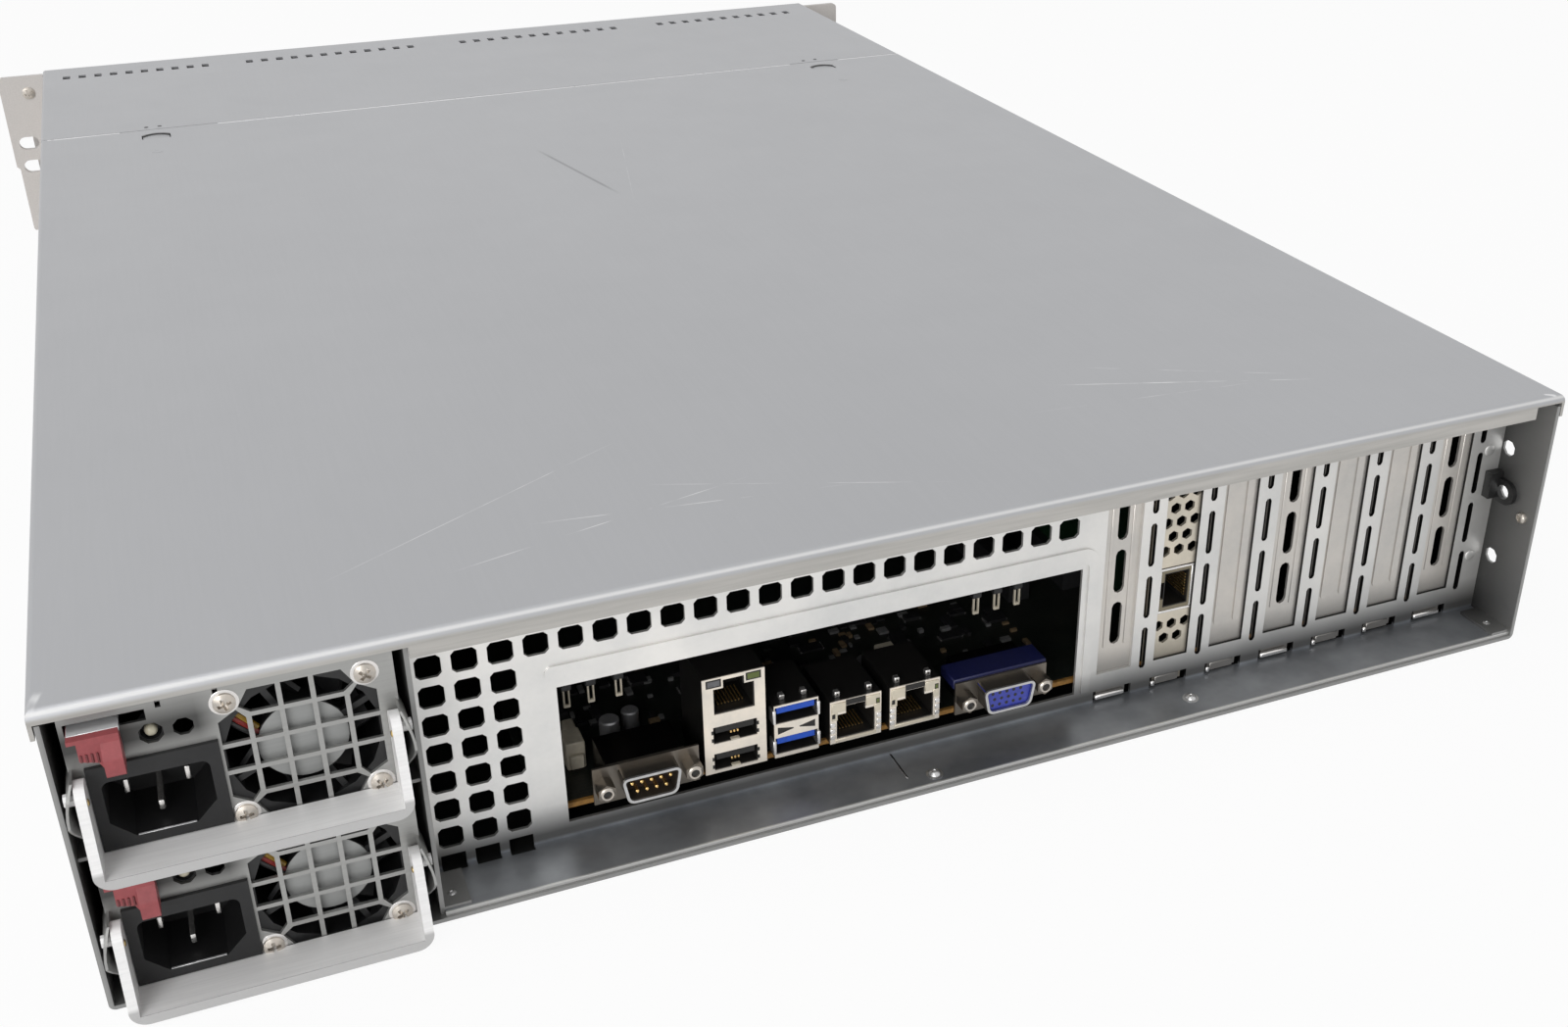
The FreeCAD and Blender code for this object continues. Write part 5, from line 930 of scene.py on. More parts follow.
class RACK_OT_add_inlet_prongs(bpy.types.Operator):
    """The three contacts in each mains inlet, and a painted highlight along the edge of its mouth"""
    bl_idname = "rack.add_inlet_prongs"
    bl_label = "Inlet Prongs"

    def execute(self, context):
        for number in (1, 2):
            base, face, fan = supply(number)
            floor, tip = face - PRONG_DEPTH, face - 4.0
            bm = bmesh.new()
            for x in PRONG_XS:
                add_block(bm, (x - 0.6, floor, base + 13.6), (x + 0.6, face - 5.0, base + 17.4), 0.35, 2)
            add_block(bm, (EARTH_X - 0.7, floor, base + 7.4), (EARTH_X + 0.7, tip, base + 10.2), 0.4, 2)
            for side in (LEFT, RIGHT):
                arm = add_block(bm, (-0.5, floor, -0.2), (0.5, tip, 2.3), 0.3)
                turn = Matrix.Rotation(math.radians(38 * side), 4, "Y")
                island = island_of(bm, [vert for vert in arm if vert.is_valid])
                bmesh.ops.transform(
                    bm, matrix=Matrix.Translation(at(EARTH_X, 0, base + 9.8)) @ turn, verts=island)
            add_piece(f"inlet_prongs_{number}", bm, "bright_nickel", f"psu_{number}")
            low, high = span_of(f"psu_{number}_inlet")
            # painted highlight: a thin bright strip along the top edge of the inlet's mouth
            edge = bmesh.new()
            add_block(
                edge, (low.x + 8.2, high.y - 0.5, low.z + 2.62),
                (high.x - 8.0, high.y + 0.02, low.z + 2.8), 0.04)
            add_piece(f"inlet_edge_{number}", edge, "painted_edge_highlight", f"psu_{number}")
        return {"FINISHED"}


class RACK_OT_add_status_lamps(bpy.types.Operator):
    """The status lamp in its dark well on each power supply"""
    bl_idname = "rack.add_status_lamps"
    bl_label = "Status Lamps"

    def execute(self, context):
        for number in (1, 2):
            base, face, fan = supply(number)
            place = (LAMP_X, face - LAMP_IN, base + LAMP_UP)
            well, lamp = bmesh.new(), bmesh.new()
            add_turned(well, WELL_SHAPE, place, "y", 20)
            add_turned(lamp, LAMP_SHAPE, place, "y", 20)
            add_piece(f"lamp_well_{number}", well, "black_plastic", f"psu_{number}")
            add_piece(f"status_lamp_{number}", lamp, "milky_lamp", f"psu_{number}")
        return {"FINISHED"}


class RACK_OT_add_fan_dressing(bpy.types.Operator):
    """The plain foil on each fan's motor and the leads beside it"""
    bl_idname = "rack.add_fan_dressing"
    bl_label = "Fan Foil and Leads"

    def execute(self, context):
        for number in (1, 2):
            base, face, fan = supply(number)
            foil = bmesh.new()
            add_turned(foil, HUB_SHAPE, (fan.x, face - HUB_IN, fan.z), "y", 40)
            add_piece(f"hub_foil_{number}", foil, "foil", f"psu_{number}")
            for index, (look, lift) in enumerate(LEADS):
                route = (
                    (9.8, -2.9, 4.2 + lift * 0.7), (13.0, -3.0, 7.5 + lift), (16.3, -3.6, 10.5 + lift),
                    (16.5, -7.0, 11.6 + lift))
                lead = bmesh.new()
                add_tube(lead, [(fan.x + x, face + y, fan.z + z) for x, y, z in route], 0.75)
                add_piece(f"fan_lead_{number}_{index}", lead, look, f"psu_{number}")
        return {"FINISHED"}


class RACK_OT_add_release_trim(bpy.types.Operator):
    """The painted highlight strip and the finger ribs of each release tab, and the bail's pivot pins"""
    bl_idname = "rack.add_release_trim"
    bl_label = "Release Trim"

    def execute(self, context):
        for number in (1, 2):
            base, face, fan = supply(number)
            low, high = span_of(f"psu_{number}_latch")
            strip, ribs, pins = bmesh.new(), bmesh.new(), bmesh.new()
            # painted highlight: a thin bright strip along the tab's top edge
            add_block(
                strip, (low.x - 0.15, low.y + 34.0, high.z - 1.1),
                (low.x + 10.9, face + 3.2, high.z + 0.1), 0.12)
            for i in range(RIB_COUNT):
                x, foot = low.x + 4.9 + i * RIB_PITCH, base + 30.7 + i * RIB_RISE
                add_block(ribs, (x, high.y - 2.6, foot), (x + 0.5, high.y - 1.85, base + 33.4), 0.1)
            for x, axis in PIN_ENDS:
                add_dome(pins, (x, face + PIN_BACK, base + PIN_UP), 0.9, 0.45, axis, 12, 0.1)
            release = f"psu_{number}_release"
            add_piece(f"release_highlight_strip_{number}", strip, "painted_edge_highlight", release)
            add_piece(f"release_ribs_{number}", ribs, "maroon_dark", release)
            add_piece(f"bail_pins_{number}", pins, "brass", f"psu_{number}_bail")
        return {"FINISHED"}


# ---- ports -----------------------------------------------------------------------------------------------


def liner(bm, low, high, wall=0.3):
    """A thin black lining that is open towards the rear."""
    add_block(bm, (low[0], low[1], low[2]), (high[0], low[1] + wall, high[2]))
    add_block(bm, (low[0], low[1] + wall, low[2]), (low[0] + wall, high[1], high[2]))
    add_block(bm, (high[0] - wall, low[1] + wall, low[2]), (high[0], high[1], high[2]))
    add_block(bm, (low[0] + wall, low[1] + wall, low[2]), (high[0] - wall, high[1], low[2] + wall))
    add_block(bm, (low[0] + wall, low[1] + wall, high[2] - wall), (high[0] - wall, high[1], high[2]))


class RACK_OT_add_port_inserts(bpy.types.Operator):
    """Linings, tongues, pins, contacts and lamps of the rear ports"""
    bl_idname = "rack.add_port_inserts"
    bl_label = "Port Inserts"

    def execute(self, context):
        face = PORT_FACE
        usb3_low, usb3_high = span_of("usb3_stack")
        jacks_low, jacks_high = span_of("lan_jacks")
        stack_x, usb3_x = middle_of("lan_usb_stack")[0], middle_of("usb3_stack")[0]
        jack_xs = (jacks_high.x - JACK_WIDTH / 2, jacks_low.x + JACK_WIDTH / 2)
        black, gold, blue, tabs = bmesh.new(), bmesh.new(), bmesh.new(), bmesh.new()
        for x, low in [(stack_x, STACK_JACK_LOW)] + [(x, LAN_JACK_LOW) for x in jack_xs]:
            self.jack(black, gold, x, low, face)
        for x, lows, tongue in ((stack_x, STACK_USB_LOWS, black), (usb3_x, USB3_LOWS, blue)):
            for low in lows:
                liner(black, (x - 6.48, face - 11.98, low + 0.02), (x + 6.48, face - 0.35, low + 5.58), 0.2)
                add_block(tongue, (x - 5.8, face - 11.9, low + 3.1), (x + 5.8, face - 0.5, low + 5.2), 0.15)
                for i in range(4):
                    pin = x + (i - 1.5) * 2.2
                    add_block(gold, (pin - 0.4, face - 9.0, low + 2.85), (pin + 0.4, face - 1.8, low + 3.15))
        for low in STACK_USB_LOWS:
            add_block(
                tabs, (stack_x - 1.3, face - 1.2, low - 0.1), (stack_x + 1.3, face + 0.12, low + 0.5), 0.12)
            for x in (stack_x - 1.0, stack_x, stack_x + 1.0):
                add_block(gold, (x - 0.3, face - 1.4, low + 1.9), (x + 0.3, face - 0.9, low + 2.7), 0.1)
            for x in (stack_x + LEFT * 6.75, stack_x + RIGHT * 6.75):
                for foot in (low + 0.7, low + 3.3):
                    add_block(black, (x - 0.3, face - 0.3, foot), (x + 0.3, face + 0.05, foot + 1.2))
        add_piece("port_linings", black, "dark_insert")
        add_piece("port_contacts", gold, "gold")
        add_piece("usb_tongues", blue, "usb_blue")
        add_piece("usb_tabs", tabs, "cream_plastic")
        self.lamps(face, stack_x, jack_xs)
        self.jack_trim(face, jack_xs)
        self.usb3_trim(face, usb3_low, usb3_high)
        self.network_card()
        return {"FINISHED"}

    def jack(self, black, gold, x, low, face):
        """A network jack's black room with its latch notch above, and its row of contacts."""
        half, notch, back = 5.98, 3.08, face - 13.98
        shoulder, roof = low + JACK_MOUTH - 0.02, low + JACK_MOUTH + JACK_NOTCH - 0.02
        front = face - 0.4
        add_block(black, (x - half, back, low + 0.02), (x + half, back + 0.3, shoulder))
        add_block(black, (x - half, back + 0.3, low + 0.02), (x + half, front, low + 0.32))
        add_block(black, (x - notch, back, shoulder - 0.3), (x + notch, back + 0.3, roof))
        add_block(black, (x - notch, back + 0.3, roof - 0.3), (x + notch, front, roof))
        for side in (LEFT, RIGHT):
            for reach, start, end in ((half, low + 0.32, shoulder), (notch, shoulder, roof - 0.3)):
                span = sorted((x + side * reach, x + side * (reach - 0.3)))
                add_block(black, (span[0], back + 0.3, start), (span[1], front, end))
            span = sorted((x + side * (half - 0.3), x + side * notch))
            add_block(black, (span[0], back + 0.3, shoulder - 0.3), (span[1], front, shoulder))
        for i in range(8):
            pin = x + (i - 3.5) * 1.02
            add_block(gold, (pin - 0.18, face - 11.0, low + 0.6), (pin + 0.18, face - 3.6, low + 1.0))

    def lamps(self, face, stack_x, jack_xs):
        frames, grey, green = bmesh.new(), bmesh.new(), bmesh.new()
        for side, lamp in ((RIGHT, grey), (LEFT, green)):
            x = stack_x + side * 5.85
            add_block(frames, (x - 2.25, face - 0.1, 40.4), (x + 2.25, face + 0.05, 43.0), 0.04)
            add_block(lamp, (x - 1.8, face - 0.1, 40.8), (x + 1.8, face + 0.12, 42.6), 0.05)
        for jack_x in jack_xs:
            x = jack_x + RIGHT * 7.0
            add_block(frames, (x - 0.5, face + 0.1, 20.5), (x + 0.5, face + 0.4, 22.1), 0.05)
            x = jack_x + LEFT * 6.8
            add_block(frames, (x - 0.6, face + 0.1, 22.5), (x + 0.6, face + 0.4, 24.3), 0.05)
            add_block(green, (x - 0.4, face + 0.1, 22.8), (x + 0.4, face + 0.46, 24.0), 0.05)
        add_piece("lamp_frames", frames, "dark_insert")
        add_piece("link_lamps_grey", grey, "grey_lamp")
        add_piece("link_lamps_green", green, "green_lamp")

    def jack_trim(self, face, jack_xs):
        """The pale corner blocks, serrated edges and spring tabs of the two network jacks."""
        springs, corners, gaps = bmesh.new(), bmesh.new(), bmesh.new()
        top = span_of("lan_jacks")[1].z
        for x in jack_xs:
            add_block(gaps, (x - 3.1, face - 0.2, 24.1), (x + 3.1, face + 0.06, top - 0.15))
            for side in (LEFT, RIGHT):
                for reach, start, end in (((3.15, 7.6), 22.3, 25.5), ((5.75, 7.6), 19.6, 22.35)):
                    span = sorted((x + side * reach[0], x + side * reach[1]))
                    add_block(corners, (span[0], face - 0.1, start), (span[1], face + 0.34, end), 0.14)
                spring = x + side * 5.0
                add_block(
                    springs, (spring - 0.8, face - 3.6, top), (spring + 0.8, face - 1.8, top + 1.9), 0.15)
                add_rod(gaps, (spring, face - 1.85, top + 1.0), 0.35, 0.1, "y", 10)
                edge = x + side * 8.0
                for i in range(3):
                    span = sorted((edge, edge - side * 1.5))
                    z = 13.2 + i * 2.1
                    add_block(springs, (span[0], face - 0.05, z), (span[1], face + 0.3, z + 1.5), 0.14)
            add_block(corners, (x - 6.4, face - 0.05, 11.9), (x + 6.4, face + 0.25, 12.9), 0.12)
        add_piece("jack_springs", springs, "bright_nickel")
        add_piece("jack_corners", corners, "cream_nickel")
        add_piece("jack_gaps", gaps, "dark_insert")

    def usb3_trim(self, face, low, high):
        """The side flanges, nubs and pinched spring of the pair of fast USB ports."""
        springs, pinches = bmesh.new(), bmesh.new()
        for x in (low.x + 3.4, high.x - 3.4):
            add_block(springs, (x - 0.8, face - 4.4, high.z), (x + 0.8, face - 2.4, high.z + 1.6), 0.15)
        for edge in (low.x, high.x):
            for port in USB3_LOWS:
                add_block(
                    springs, (edge - 0.5, face - 3.2, port + 0.2), (edge + 0.5, face + 0.4, port + 4.8), 0.2)
        middle = (low.x + high.x) / 2
        waist = (USB3_LOWS[0] + USB3_LOWS[1] + 5.6) / 2
        for side in (LEFT, RIGHT):
            centre = middle + side * 3.3
            wedge = add_block(
                pinches, (centre - 2.4, face - 0.2, waist - 1.2), (centre + 2.4, face + 0.05, waist + 1.2))
            for vert in wedge:
                if abs(vert.co.x / MM - middle) < 2.0:
                    vert.co.z = waist * MM + (vert.co.z - waist * MM) * 0.12
        add_piece("usb_springs", springs, "bright_nickel")
        add_piece("usb_pinches", pinches, "dark_insert")

    def network_card(self):
        low, high = span_of("nic_bracket")
        x = (low.x + high.x) / 2
        back = PANEL_FACE - 1.0
        black, gold = bmesh.new(), bmesh.new()
        liner(black, (x - 4.78, back - 13.9, 30.55), (x + 3.98, back - 0.1, 42.45))
        for i in range(8):
            z = 36.5 + (i - 3.5) * 1.02
            add_block(gold, (x - 4.3, back - 11.0, z - 0.2), (x - 3.9, back - 1.0, z + 0.2))
        add_piece("card_jack_lining", black, "dark_insert")
        add_piece("card_jack_contacts", gold, "gold")
        rim = bmesh.new()
        for z in (28.6, 43.6):
            add_block(rim, (x - 6.1, back - 0.4, z), (x + 6.1, back + 0.35, z + 0.8), 0.12)
        for edge in (x - 6.1, x + 5.3):
            add_block(rim, (edge, back - 0.4, 29.4), (edge + 0.8, back + 0.35, 43.6), 0.12)
        add_piece("card_jack_rim", rim, "bright_nickel")


def dsub_places(rows, pitch):
    """Staggered places of the pins of a D connector, as (offset along, offset up)."""
    return [
        ((i - (count - 1) / 2) * pitch + shift, level) for count, level, shift in rows for i in range(count)]


def add_d_rim(bm, x, y, z):
    """The rolled edge of a D connector's shell: a thin ring with round corners."""
    verts = add_block(bm, (x - 8.6, y - 0.6, z - 4.3), (x + 8.6, y + 0.15, z + 4.3))
    for vert in verts:
        if vert.co.z < z * MM:
            vert.co.x = x * MM + (vert.co.x - x * MM) * 0.82
    upright = [edge for edge in bm.edges if abs(edge.verts[0].co.y - edge.verts[1].co.y) > 0.5 * MM]
    bevel_edges(bm, upright, 2.0, 4)
    bm.normal_update()
    ends = [face for face in bm.faces if abs(face.normal.y) > 0.9]
    bmesh.ops.inset_individual(bm, faces=ends, thickness=0.8 * MM)
    rims = [edge for face in ends for edge in face.edges]
    bmesh.ops.delete(bm, geom=ends, context="FACES_ONLY")
    bmesh.ops.bridge_loops(bm, edges=rims)


SERIAL_PINS = dsub_places(((5, 1.4, 0), (4, -1.4, 0)), 2.75)
VIDEO_HOLES = dsub_places(((5, 2.0, 0.6), (5, 0.0, 0.0), (5, -2.0, 0.6)), 2.3)
INSERT_RISE, INSERT_HALF_WIDTH, INSERT_HALF_HEIGHT = 0.4, 7.9, 3.6
STANDOFF_REACH, STANDOFF_END = 12.5, 5.4
RING_SHAPE = ((1.25, 0), (2.1, 0), (2.1, 0.2), (1.75, 0.55), (1.25, 0.55), (1.25, 0))


class RACK_OT_add_d_connectors(bpy.types.Operator):
    """The inserts and pins of the serial and video ports, with their threaded standoffs"""
    bl_idname = "rack.add_d_connectors"
    bl_label = "Serial and Video Inserts"

    def execute(self, context):
        x, face, z = self.insert("serial", "serial_port", "rust_insert", 1.2)
        pins, holes = bmesh.new(), bmesh.new()
        for along, lift in SERIAL_PINS:
            add_rod(pins, (x + along, face - 0.1, z + lift), 0.5, 4.6, "y", 10, 0.2)
        add_piece("serial_pins", pins, "gold")
        self.surround("serial", "serial_port")
        x, face, z = self.insert("video", "vga_port", "blue_plastic", 5.6)
        for along, lift in VIDEO_HOLES:
            add_rod(holes, (x + along, face - 0.3, z + lift), 0.55, 0.33, "y", 10)
        add_piece("video_sockets", holes, "dark_insert")
        self.surround("video", "vga_port")
        low, high = span_of("vga_port")
        body = bmesh.new()
        add_block(
            body, (low.x - 0.3, PORT_FACE - 9.0, high.z - 2.4),
            (high.x + 0.3, PORT_FACE + 0.05, high.z + 0.9), 0.3)
        add_piece("video_body", body, "navy_plastic")
        return {"FINISHED"}

    def insert(self, name, node, look, height):
        """The moulded insert of one port; gives back the middle of its face."""
        x, z = middle_of(node)
        z += INSERT_RISE
        face = PORT_FACE + height
        bm = bmesh.new()
        verts = add_block(
            bm, (x - INSERT_HALF_WIDTH, PORT_FACE - 0.2, z - INSERT_HALF_HEIGHT),
            (x + INSERT_HALF_WIDTH, face, z + INSERT_HALF_HEIGHT))
        taper_below(verts, x, z, 0.83)
        round_corners(bm, 0.9, 3)
        add_piece(name + "_insert", bm, look)
        return x, face, z

    def surround(self, name, node):
        """The rolled rim and the threaded standoffs of one port."""
        x, z = middle_of(node)
        z += INSERT_RISE
        rim, bores, rings = bmesh.new(), bmesh.new(), bmesh.new()
        add_d_rim(rim, x, span_of(node)[1].y, z)
        for side in (LEFT, RIGHT):
            along, end = x + side * STANDOFF_REACH, PORT_FACE + STANDOFF_END
            add_turned(rings, RING_SHAPE, (along, end, z), "y", 20)
            add_rod(bores, (along, end - 0.1, z), 1.25, 0.14, "y", 16)
        add_piece(name + "_rim", rim, "rivet")
        add_piece(name + "_standoff_rings", rings, "screw")
        add_piece(name + "_standoff_bores", bores, "dark_insert")


# ---- board ------------------------------------------------------------------------------------------------

BARE_EDGE_X = (-66.0, 100.0)
SCATTER_X, SCATTER_Y = (-60.0, 96.0), (560.0, 602.0)
SCATTER_KINDS = ("chip", "chip", "tan_part", "grey_part", "grey_part")
LEADED_CHIP_WIDTH, CHIP_LEADS = 4, 4
# places, radii and heights of the capacitors
CAPACITORS = ((78.0, 600.0, 3.0, 9.0), (70.5, 595.0, 2.6, 7.0), (-4.0, 596.0, 2.6, 6.5))
# places, widths, depths and heights of the cable connectors
CONNECTORS = ((90.0, 604.0, 5.6, 8.0, 9.0), (88.5, 594.0, 3.4, 6.0, 6.0), (-14.0, 588.0, 6.0, 3.0, 4.0))
CLIP_XS, CLIP_DEPTH = (91.0, 84.0, 76.0, -36.0, -43.0, -50.0), (606.0, 607.0)


class RACK_OT_add_board_parts(bpy.types.Operator):
    """The board's edge and the parts that show through the port window"""
    bl_idname = "rack.add_board_parts"
    bl_label = "Board Parts"

    def execute(self, context):
        low, high = BOARD_LOW, BOARD_HIGH
        bm = bmesh.new()
        add_block(bm, (low.x, high.y - 0.02, low.z), (high.x, high.y + 0.12, high.z - 0.1))
        add_block(bm, (BARE_EDGE_X[0], high.y - 0.9, high.z), (BARE_EDGE_X[1], high.y + 0.1, high.z + 0.05))
        add_piece("board_edge", bm, "board_edge")
        self.scatter(context.scene.rack_board)
        self.capacitors()
        self.cable_clips()
        self.connectors()
        return {"FINISHED"}

    def stand(self, bm, x, y, wide, deep, height, bevel=0.0):
        """A block that stands on the board, about a place."""
        top = BOARD_HIGH.z
        add_block(bm, (x - wide / 2, y - deep / 2, top), (x + wide / 2, y + deep / 2, top + height), bevel)

    def scatter(self, settings):
        """Small chips, resistors and leads, thrown over the board behind the window."""
        dice = random.Random(settings.seed)
        groups = {kind: bmesh.new() for kind in ("chip", "tan_part", "grey_part", "bright_nickel")}
        for i in range(settings.part_count):
            x = dice.uniform(*SCATTER_X)
            y = dice.uniform(*SCATTER_Y)
            kind = dice.choice(SCATTER_KINDS)
            wide = dice.choice((1.6, 2.2, 3.2)) if kind != "chip" else dice.choice((3.0, 5.0, 7.0))
            deep = wide * dice.choice((0.5, 0.6, 1.0))
            height = dice.uniform(0.6, 1.2)
            if dice.random() < 0.5:
                wide, deep = deep, wide
            self.stand(groups[kind], x, y, wide, deep, height)
            if kind == "chip" and wide > LEADED_CHIP_WIDTH:
                for side in (LEFT, RIGHT):
                    for step in range(CHIP_LEADS):
                        along = y + (step - 1.5) * deep / 4
                        self.stand(groups["bright_nickel"], x + side * wide / 2, along, 1.0, 0.3, 0.35)
        for kind, bm in groups.items():
            add_piece("board_" + kind + "s", bm, kind)

    def capacitors(self):
        cans = bmesh.new()
        for x, y, radius, height in CAPACITORS:
            shape = (
                (0, 0), (radius, 0), (radius, 0.6), (radius - 0.25, 0.9), (radius, 1.2),
                (radius, height - 0.4), (radius - 0.4, height), (0, height))
            add_turned(cans, shape, (x, y, BOARD_HIGH.z), "z", 20)
        add_piece("capacitor_cans", cans, "can")

    def connectors(self):
        """Cable connectors, each with the ledge of its latch at the rear."""
        cream = bmesh.new()
        for x, y, wide, deep, height in CONNECTORS:
            self.stand(cream, x, y, wide, deep, height, 0.4)
            ledge, back, top = wide / 2 - 0.8, y + deep / 2, BOARD_HIGH.z
            add_block(cream, (x - ledge, back, top + 1.0), (x + ledge, back + 1.4, top + height * 0.6), 0.3)
        add_piece("board_connectors", cream, "cream_plastic")

    def cable_clips(self):
        """Pale two-legged clips that hang from dark housings over the ports."""
        clips, housings = bmesh.new(), bmesh.new()
        front, back = CLIP_DEPTH
        for x in CLIP_XS:
            for leg in (x - 1.0, x + 0.5):
                add_block(clips, (leg, front, 33.0), (leg + 0.5, back, 38.0), 0.15)
            add_block(clips, (x - 1.0, front, 32.2), (x + 1.0, back, 33.2), 0.2)
            add_block(housings, (x - 1.6, front - 4.0, 38.0), (x + 1.6, back + 0.4, 44.0), 0.3)
        add_piece("cable_clips", clips, "cream_plastic")
        add_piece("clip_housings", housings, "black_plastic")


# ---- front ------------------------------------------------------------------------------------------------

MESH_X, MESH_Z = (-196.0, 164.0), (62.5, 79.5)
UPRIGHT_COUNT, UPRIGHT_FIRST, UPRIGHT_PITCH = 58, -194.0, 6.2
LEVEL_HEIGHTS = (66.6, 71.0, 75.4)
WIRE_HALF = 0.4
FRONT_LAMP_X, FRONT_LAMP_ZS = 182.0, (62.0, 66.4, 70.8, 75.2, 79.6)
RESET_X, RESET_Z = 200.0, 60.5
BUTTON_RING_SHAPE = ((5.0, 0), (6.0, 0), (6.0, 0.5), (5.6, 0.8), (5.0, 0.6), (5.0, 0))
CARRIER_COUNT = 8
GRIP_RIBS, GRIP_PITCH = 5, 2.4
EAR_FACE_X, EAR_FACE_ZS = 227.4, (11.4, 77.5)
EAR_LEG_X, EAR_LEG_PLACES = 219.2, ((9.0, 16.0), (23.0, 16.0), (9.0, 70.0), (23.0, 70.0))


class RACK_OT_add_front_trim(bpy.types.Operator):
    """Mesh, lamps, reset button and power button ring, with the grips, catches and lamps of the drive
    carriers
    """
    bl_idname = "rack.add_front_trim"
    bl_label = "Front Trim"

    def execute(self, context):
        front = FRONT_FACE
        mesh, lamps, reset, ring = bmesh.new(), bmesh.new(), bmesh.new(), bmesh.new()
        for i in range(UPRIGHT_COUNT):
            x = UPRIGHT_FIRST + i * UPRIGHT_PITCH
            add_block(mesh, (x - WIRE_HALF, front + 1.3, MESH_Z[0]), (x + WIRE_HALF, front + 1.7, MESH_Z[1]))
        for z in LEVEL_HEIGHTS:
            add_block(
                mesh, (MESH_X[0], front + 1.25, z - WIRE_HALF), (MESH_X[1], front + 1.75, z + WIRE_HALF))
        for z in FRONT_LAMP_ZS:
            add_dome(lamps, (FRONT_LAMP_X, front, z), 1.1, 0.7, "-y", 12, 0.15)
        add_rod(reset, (RESET_X, front, RESET_Z), 1.2, 0.6, "-y", 16, 0.2)
        x, z = middle_of("power_button")
        add_turned(ring, BUTTON_RING_SHAPE, (x, front, z), "-y", 32)
        add_piece("front_mesh", mesh, "black_steel")
        add_piece("front_lamps", lamps, "grey_lamp")
        add_piece("reset_button", reset, "lever_plastic")
        add_piece("button_ring", ring, "bright_nickel")
        for number in range(1, CARRIER_COUNT + 1):
            self.carrier(number)
        return {"FINISHED"}

    def carrier(self, number):
        """The lamps of one drive carrier, with the grip and catch of its lever."""
        low, high = span_of(f"drive_carrier_{number}")
        lever_low, lever_high = span_of(f"carrier_lever_{number}")
        lamps, grip, catch = bmesh.new(), bmesh.new(), bmesh.new()
        for lift in (0.32, 0.68):
            z = low.z + (high.z - low.z) * lift
            add_rod(lamps, (high.x - 3.4, FRONT_FACE, z), 1.0, 0.5, "-y", 12, 0.15)
        bottom, top = lever_low.z + 1.2, lever_high.z - 1.2
        for i in range(GRIP_RIBS):
            x = lever_high.x - 8.0 - i * GRIP_PITCH
            add_block(grip, (x - 0.5, lever_low.y + 1.1, bottom), (x + 0.5, lever_low.y + 2.0, top), 0.15)
        add_block(
            catch, (lever_high.x - 5.4, lever_low.y - 0.1, lever_low.z + 1.6),
            (lever_high.x - 1.2, lever_low.y + 1.6, lever_high.z - 1.6), 0.35, 2)
        add_piece(f"carrier_lamps_{number}", lamps, "blue_lamp", f"carrier_{number}")
        add_piece(f"lever_grip_{number}", grip, "black_plastic", f"lever_{number}")
        add_piece(f"lever_catch_{number}", catch, "maroon", f"lever_{number}")


class RACK_OT_add_ear_screws(bpy.types.Operator):
    """Countersunk screws on the faces and legs of the rack ears"""
    bl_idname = "rack.add_ear_screws"
    bl_label = "Ear Screws"

    def execute(self, context):
        bm = bmesh.new()
        for side, outwards in ((RIGHT, "x"), (LEFT, "-x")):
            for z in EAR_FACE_ZS:
                add_cross_screw(bm, (side * EAR_FACE_X, 0.0, z), 3.2, 0.7, "y", 0.4, 0.4)
            for y, z in EAR_LEG_PLACES:
                add_cross_screw(bm, (side * EAR_LEG_X, y, z), 2.8, 0.8, outwards, y * 0.1, 0.5)
        add_piece("ear_screws", bm, "screw")
        return {"FINISHED"}


# ---- stage ------------------------------------------------------------------------------------------------

CAMERA_AXES = (
    (-0.92482374, -0.17876461, 0.33577411),
    (0.38034930, -0.42074575, 0.82359421),
    (-0.00595397, 0.88939093, 0.45710865),
)
CAMERA_PLACE = (168.744, 993.885, 302.072)
CAMERA_SHIFT = (-0.0306, -0.0208)
# place, target and width of each lamp, in metres
KEY_LAMP = ((0.9, 0.7, 2.0), (0.0, 0.35, 0.05), 1.6)
REAR_LAMP = ((1.35, 2.4, 0.8), (0.0, 0.6, 0.05), 1.3)
FLOOR_HALF, FLOOR_SHADE, FLOOR_WHITE_SHARE = 8.0, 0.86, 0.93


def seen_by(nodes, links, kinds):
    """1 for rays of the named kinds, and 0 for all others."""
    rays = nodes.new("ShaderNodeLightPath")
    seen = rays.outputs[kinds[0]]
    for kind in kinds[1:]:
        most = nodes.new("ShaderNodeMath")
        most.operation = "MAXIMUM"
        links.new(seen, most.inputs[0])
        links.new(rays.outputs[kind], most.inputs[1])
        seen = most.outputs[0]
    return seen


def blend_shaders(nodes, links, share, first, second, output):
    """Mix two shaders by a share, into a material's or a world's output."""
    blend = nodes.new("ShaderNodeMixShader")
    links.new(share, blend.inputs["Fac"])
    links.new(first, blend.inputs[1])
    links.new(second, blend.inputs[2])
    links.new(blend.outputs["Shader"], nodes[output].inputs["Surface"])


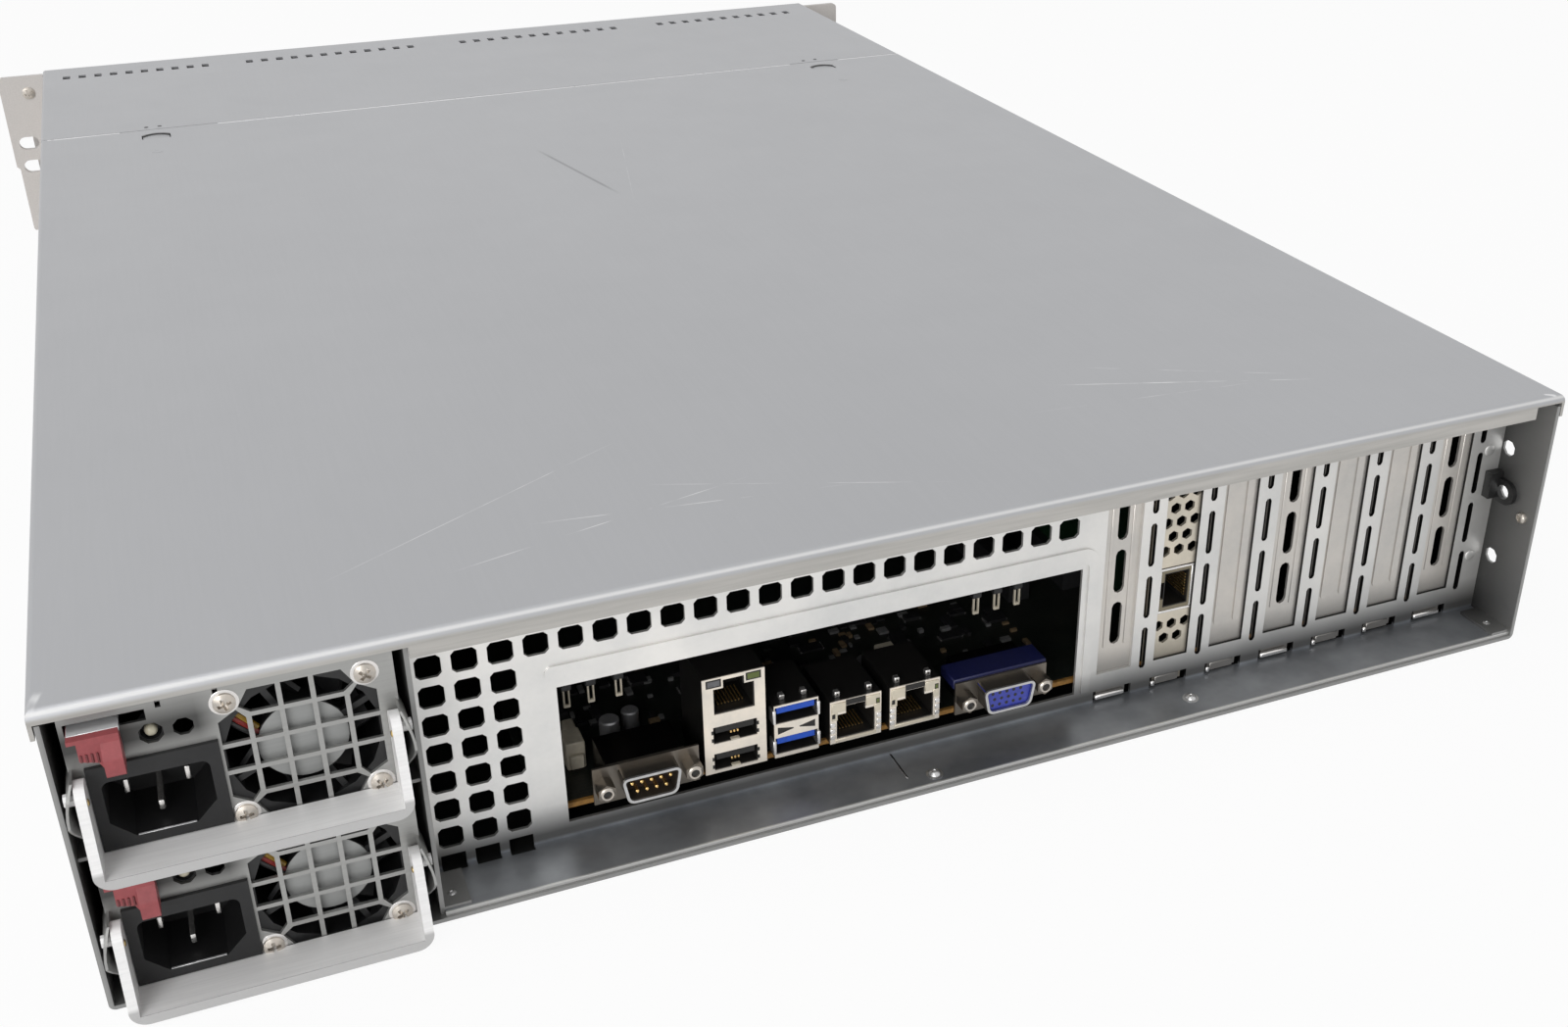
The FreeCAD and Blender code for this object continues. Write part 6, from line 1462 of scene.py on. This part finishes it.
class RACK_OT_add_studio(bpy.types.Operator):
    """The floor, lamps, even white surroundings and camera"""
    bl_idname = "rack.add_studio"
    bl_label = "Studio"

    def execute(self, context):
        settings = context.scene.rack_studio
        self.camera(context.scene, settings)
        self.floor()
        self.lamp("key", *KEY_LAMP, settings.key_power)
        self.lamp("rear", *REAR_LAMP, settings.rear_power)
        self.world(context.scene, settings)
        context.scene.view_settings.view_transform = "Standard"
        return {"FINISHED"}

    def camera(self, scene, settings):
        lens = bpy.data.cameras.new("camera")
        lens.sensor_width = 36.0
        lens.lens = settings.focal_length
        lens.shift_x, lens.shift_y = CAMERA_SHIFT
        lens.clip_start, lens.clip_end = 0.02, 50.0
        holder = bpy.data.objects.new("camera", lens)
        matrix = Matrix(CAMERA_AXES).to_4x4()
        matrix.translation = at(*CAMERA_PLACE)
        holder.matrix_world = matrix
        scene.collection.objects.link(holder)
        scene.camera = holder

    def floor(self):
        """A pale floor that keeps the shadow and shows the background's white."""
        bm = bmesh.new()
        bmesh.ops.create_grid(bm, x_segments=1, y_segments=1, size=FLOOR_HALF)
        mesh = bpy.data.meshes.new("floor")
        bm.to_mesh(mesh)
        bm.free()
        floor = bpy.data.objects.new("floor", mesh)
        bpy.context.scene.collection.objects.link(floor)
        pale = bpy.data.materials.new("floor_white")
        pale.use_nodes = True
        nodes, links = pale.node_tree.nodes, pale.node_tree.links
        shader = nodes["Principled BSDF"]
        shader.inputs["Base Color"].default_value = (FLOOR_SHADE, FLOOR_SHADE, FLOOR_SHADE, 1.0)
        shader.inputs["Roughness"].default_value = 0.9
        glow = nodes.new("ShaderNodeEmission")
        glow.inputs["Strength"].default_value = 1.0
        share = nodes.new("ShaderNodeMath")
        share.operation = "MULTIPLY"
        share.inputs[1].default_value = FLOOR_WHITE_SHARE
        links.new(seen_by(nodes, links, ("Is Camera Ray", "Is Glossy Ray")), share.inputs[0])
        blend_shaders(
            nodes, links, share.outputs[0], shader.outputs["BSDF"], glow.outputs["Emission"],
            "Material Output")
        mesh.materials.append(pale)

    def lamp(self, name, place, target, size, power):
        light = bpy.data.lights.new(name, "AREA")
        light.shape = "SQUARE"
        light.size = size
        light.energy = power
        holder = bpy.data.objects.new(name, light)
        holder.location = place
        holder.rotation_euler = (Vector(target) - Vector(place)).to_track_quat("-Z", "Y").to_euler()
        bpy.context.scene.collection.objects.link(holder)

    def world(self, scene, settings):
        """Even light from all round, under a background that is seen as plain white."""
        world = bpy.data.worlds.new("surroundings")
        scene.world = world
        world.use_nodes = True
        nodes, links = world.node_tree.nodes, world.node_tree.links
        even, white = nodes["Background"], nodes.new("ShaderNodeBackground")
        for shader, strength in ((even, settings.ambient), (white, 1.0)):
            shader.inputs["Color"].default_value = (1, 1, 1, 1)
            shader.inputs["Strength"].default_value = strength
        seen = seen_by(nodes, links, ("Is Camera Ray", "Is Glossy Ray", "Is Transmission Ray"))
        blend_shaders(
            nodes, links, seen, even.outputs["Background"], white.outputs["Background"], "World Output")


# ---- add-on -----------------------------------------------------------------------------------------------

STEPS = (
    RACK_OT_finish_solids, RACK_OT_add_rivets, RACK_OT_add_slot_feet, RACK_OT_add_lid_marks,
    RACK_OT_add_guard_screws, RACK_OT_add_inlet_prongs, RACK_OT_add_status_lamps, RACK_OT_add_fan_dressing,
    RACK_OT_add_release_trim, RACK_OT_add_port_inserts, RACK_OT_add_d_connectors, RACK_OT_add_board_parts,
    RACK_OT_add_front_trim, RACK_OT_add_ear_screws, RACK_OT_add_studio,
)
GROUPS = {
    "rack_sheet": SheetSettings, "rack_supply": SupplySettings, "rack_ports": PortSettings,
    "rack_board": BoardSettings, "rack_studio": StudioSettings,
}


class RACK_PT_sidebar(bpy.types.Panel):
    bl_label = "Rack Server"
    bl_idname = "RACK_PT_sidebar"
    bl_space_type = "VIEW_3D"
    bl_region_type = "UI"
    bl_category = "Rack Server"

    def draw(self, context):
        for step in STEPS:
            self.layout.operator(step.bl_idname)
        for name in GROUPS:
            settings = getattr(context.scene, name)
            box = self.layout.box()
            for key in settings.bl_rna.properties.keys():
                if key not in ("rna_type", "name"):
                    box.prop(settings, key)


def register():
    for name, group in GROUPS.items():
        bpy.utils.register_class(group)
        setattr(bpy.types.Scene, name, PointerProperty(type=group))
    for step in STEPS:
        bpy.utils.register_class(step)
    bpy.utils.register_class(RACK_PT_sidebar)


def unregister():
    bpy.utils.unregister_class(RACK_PT_sidebar)
    for step in reversed(STEPS):
        bpy.utils.unregister_class(step)
    for name, group in reversed(list(GROUPS.items())):
        delattr(bpy.types.Scene, name)
        bpy.utils.unregister_class(group)


def main():
    register()
    for step in STEPS:
        group, action = step.bl_idname.split(".")
        getattr(getattr(bpy.ops, group), action)()


if __name__ == "__main__":
    main()
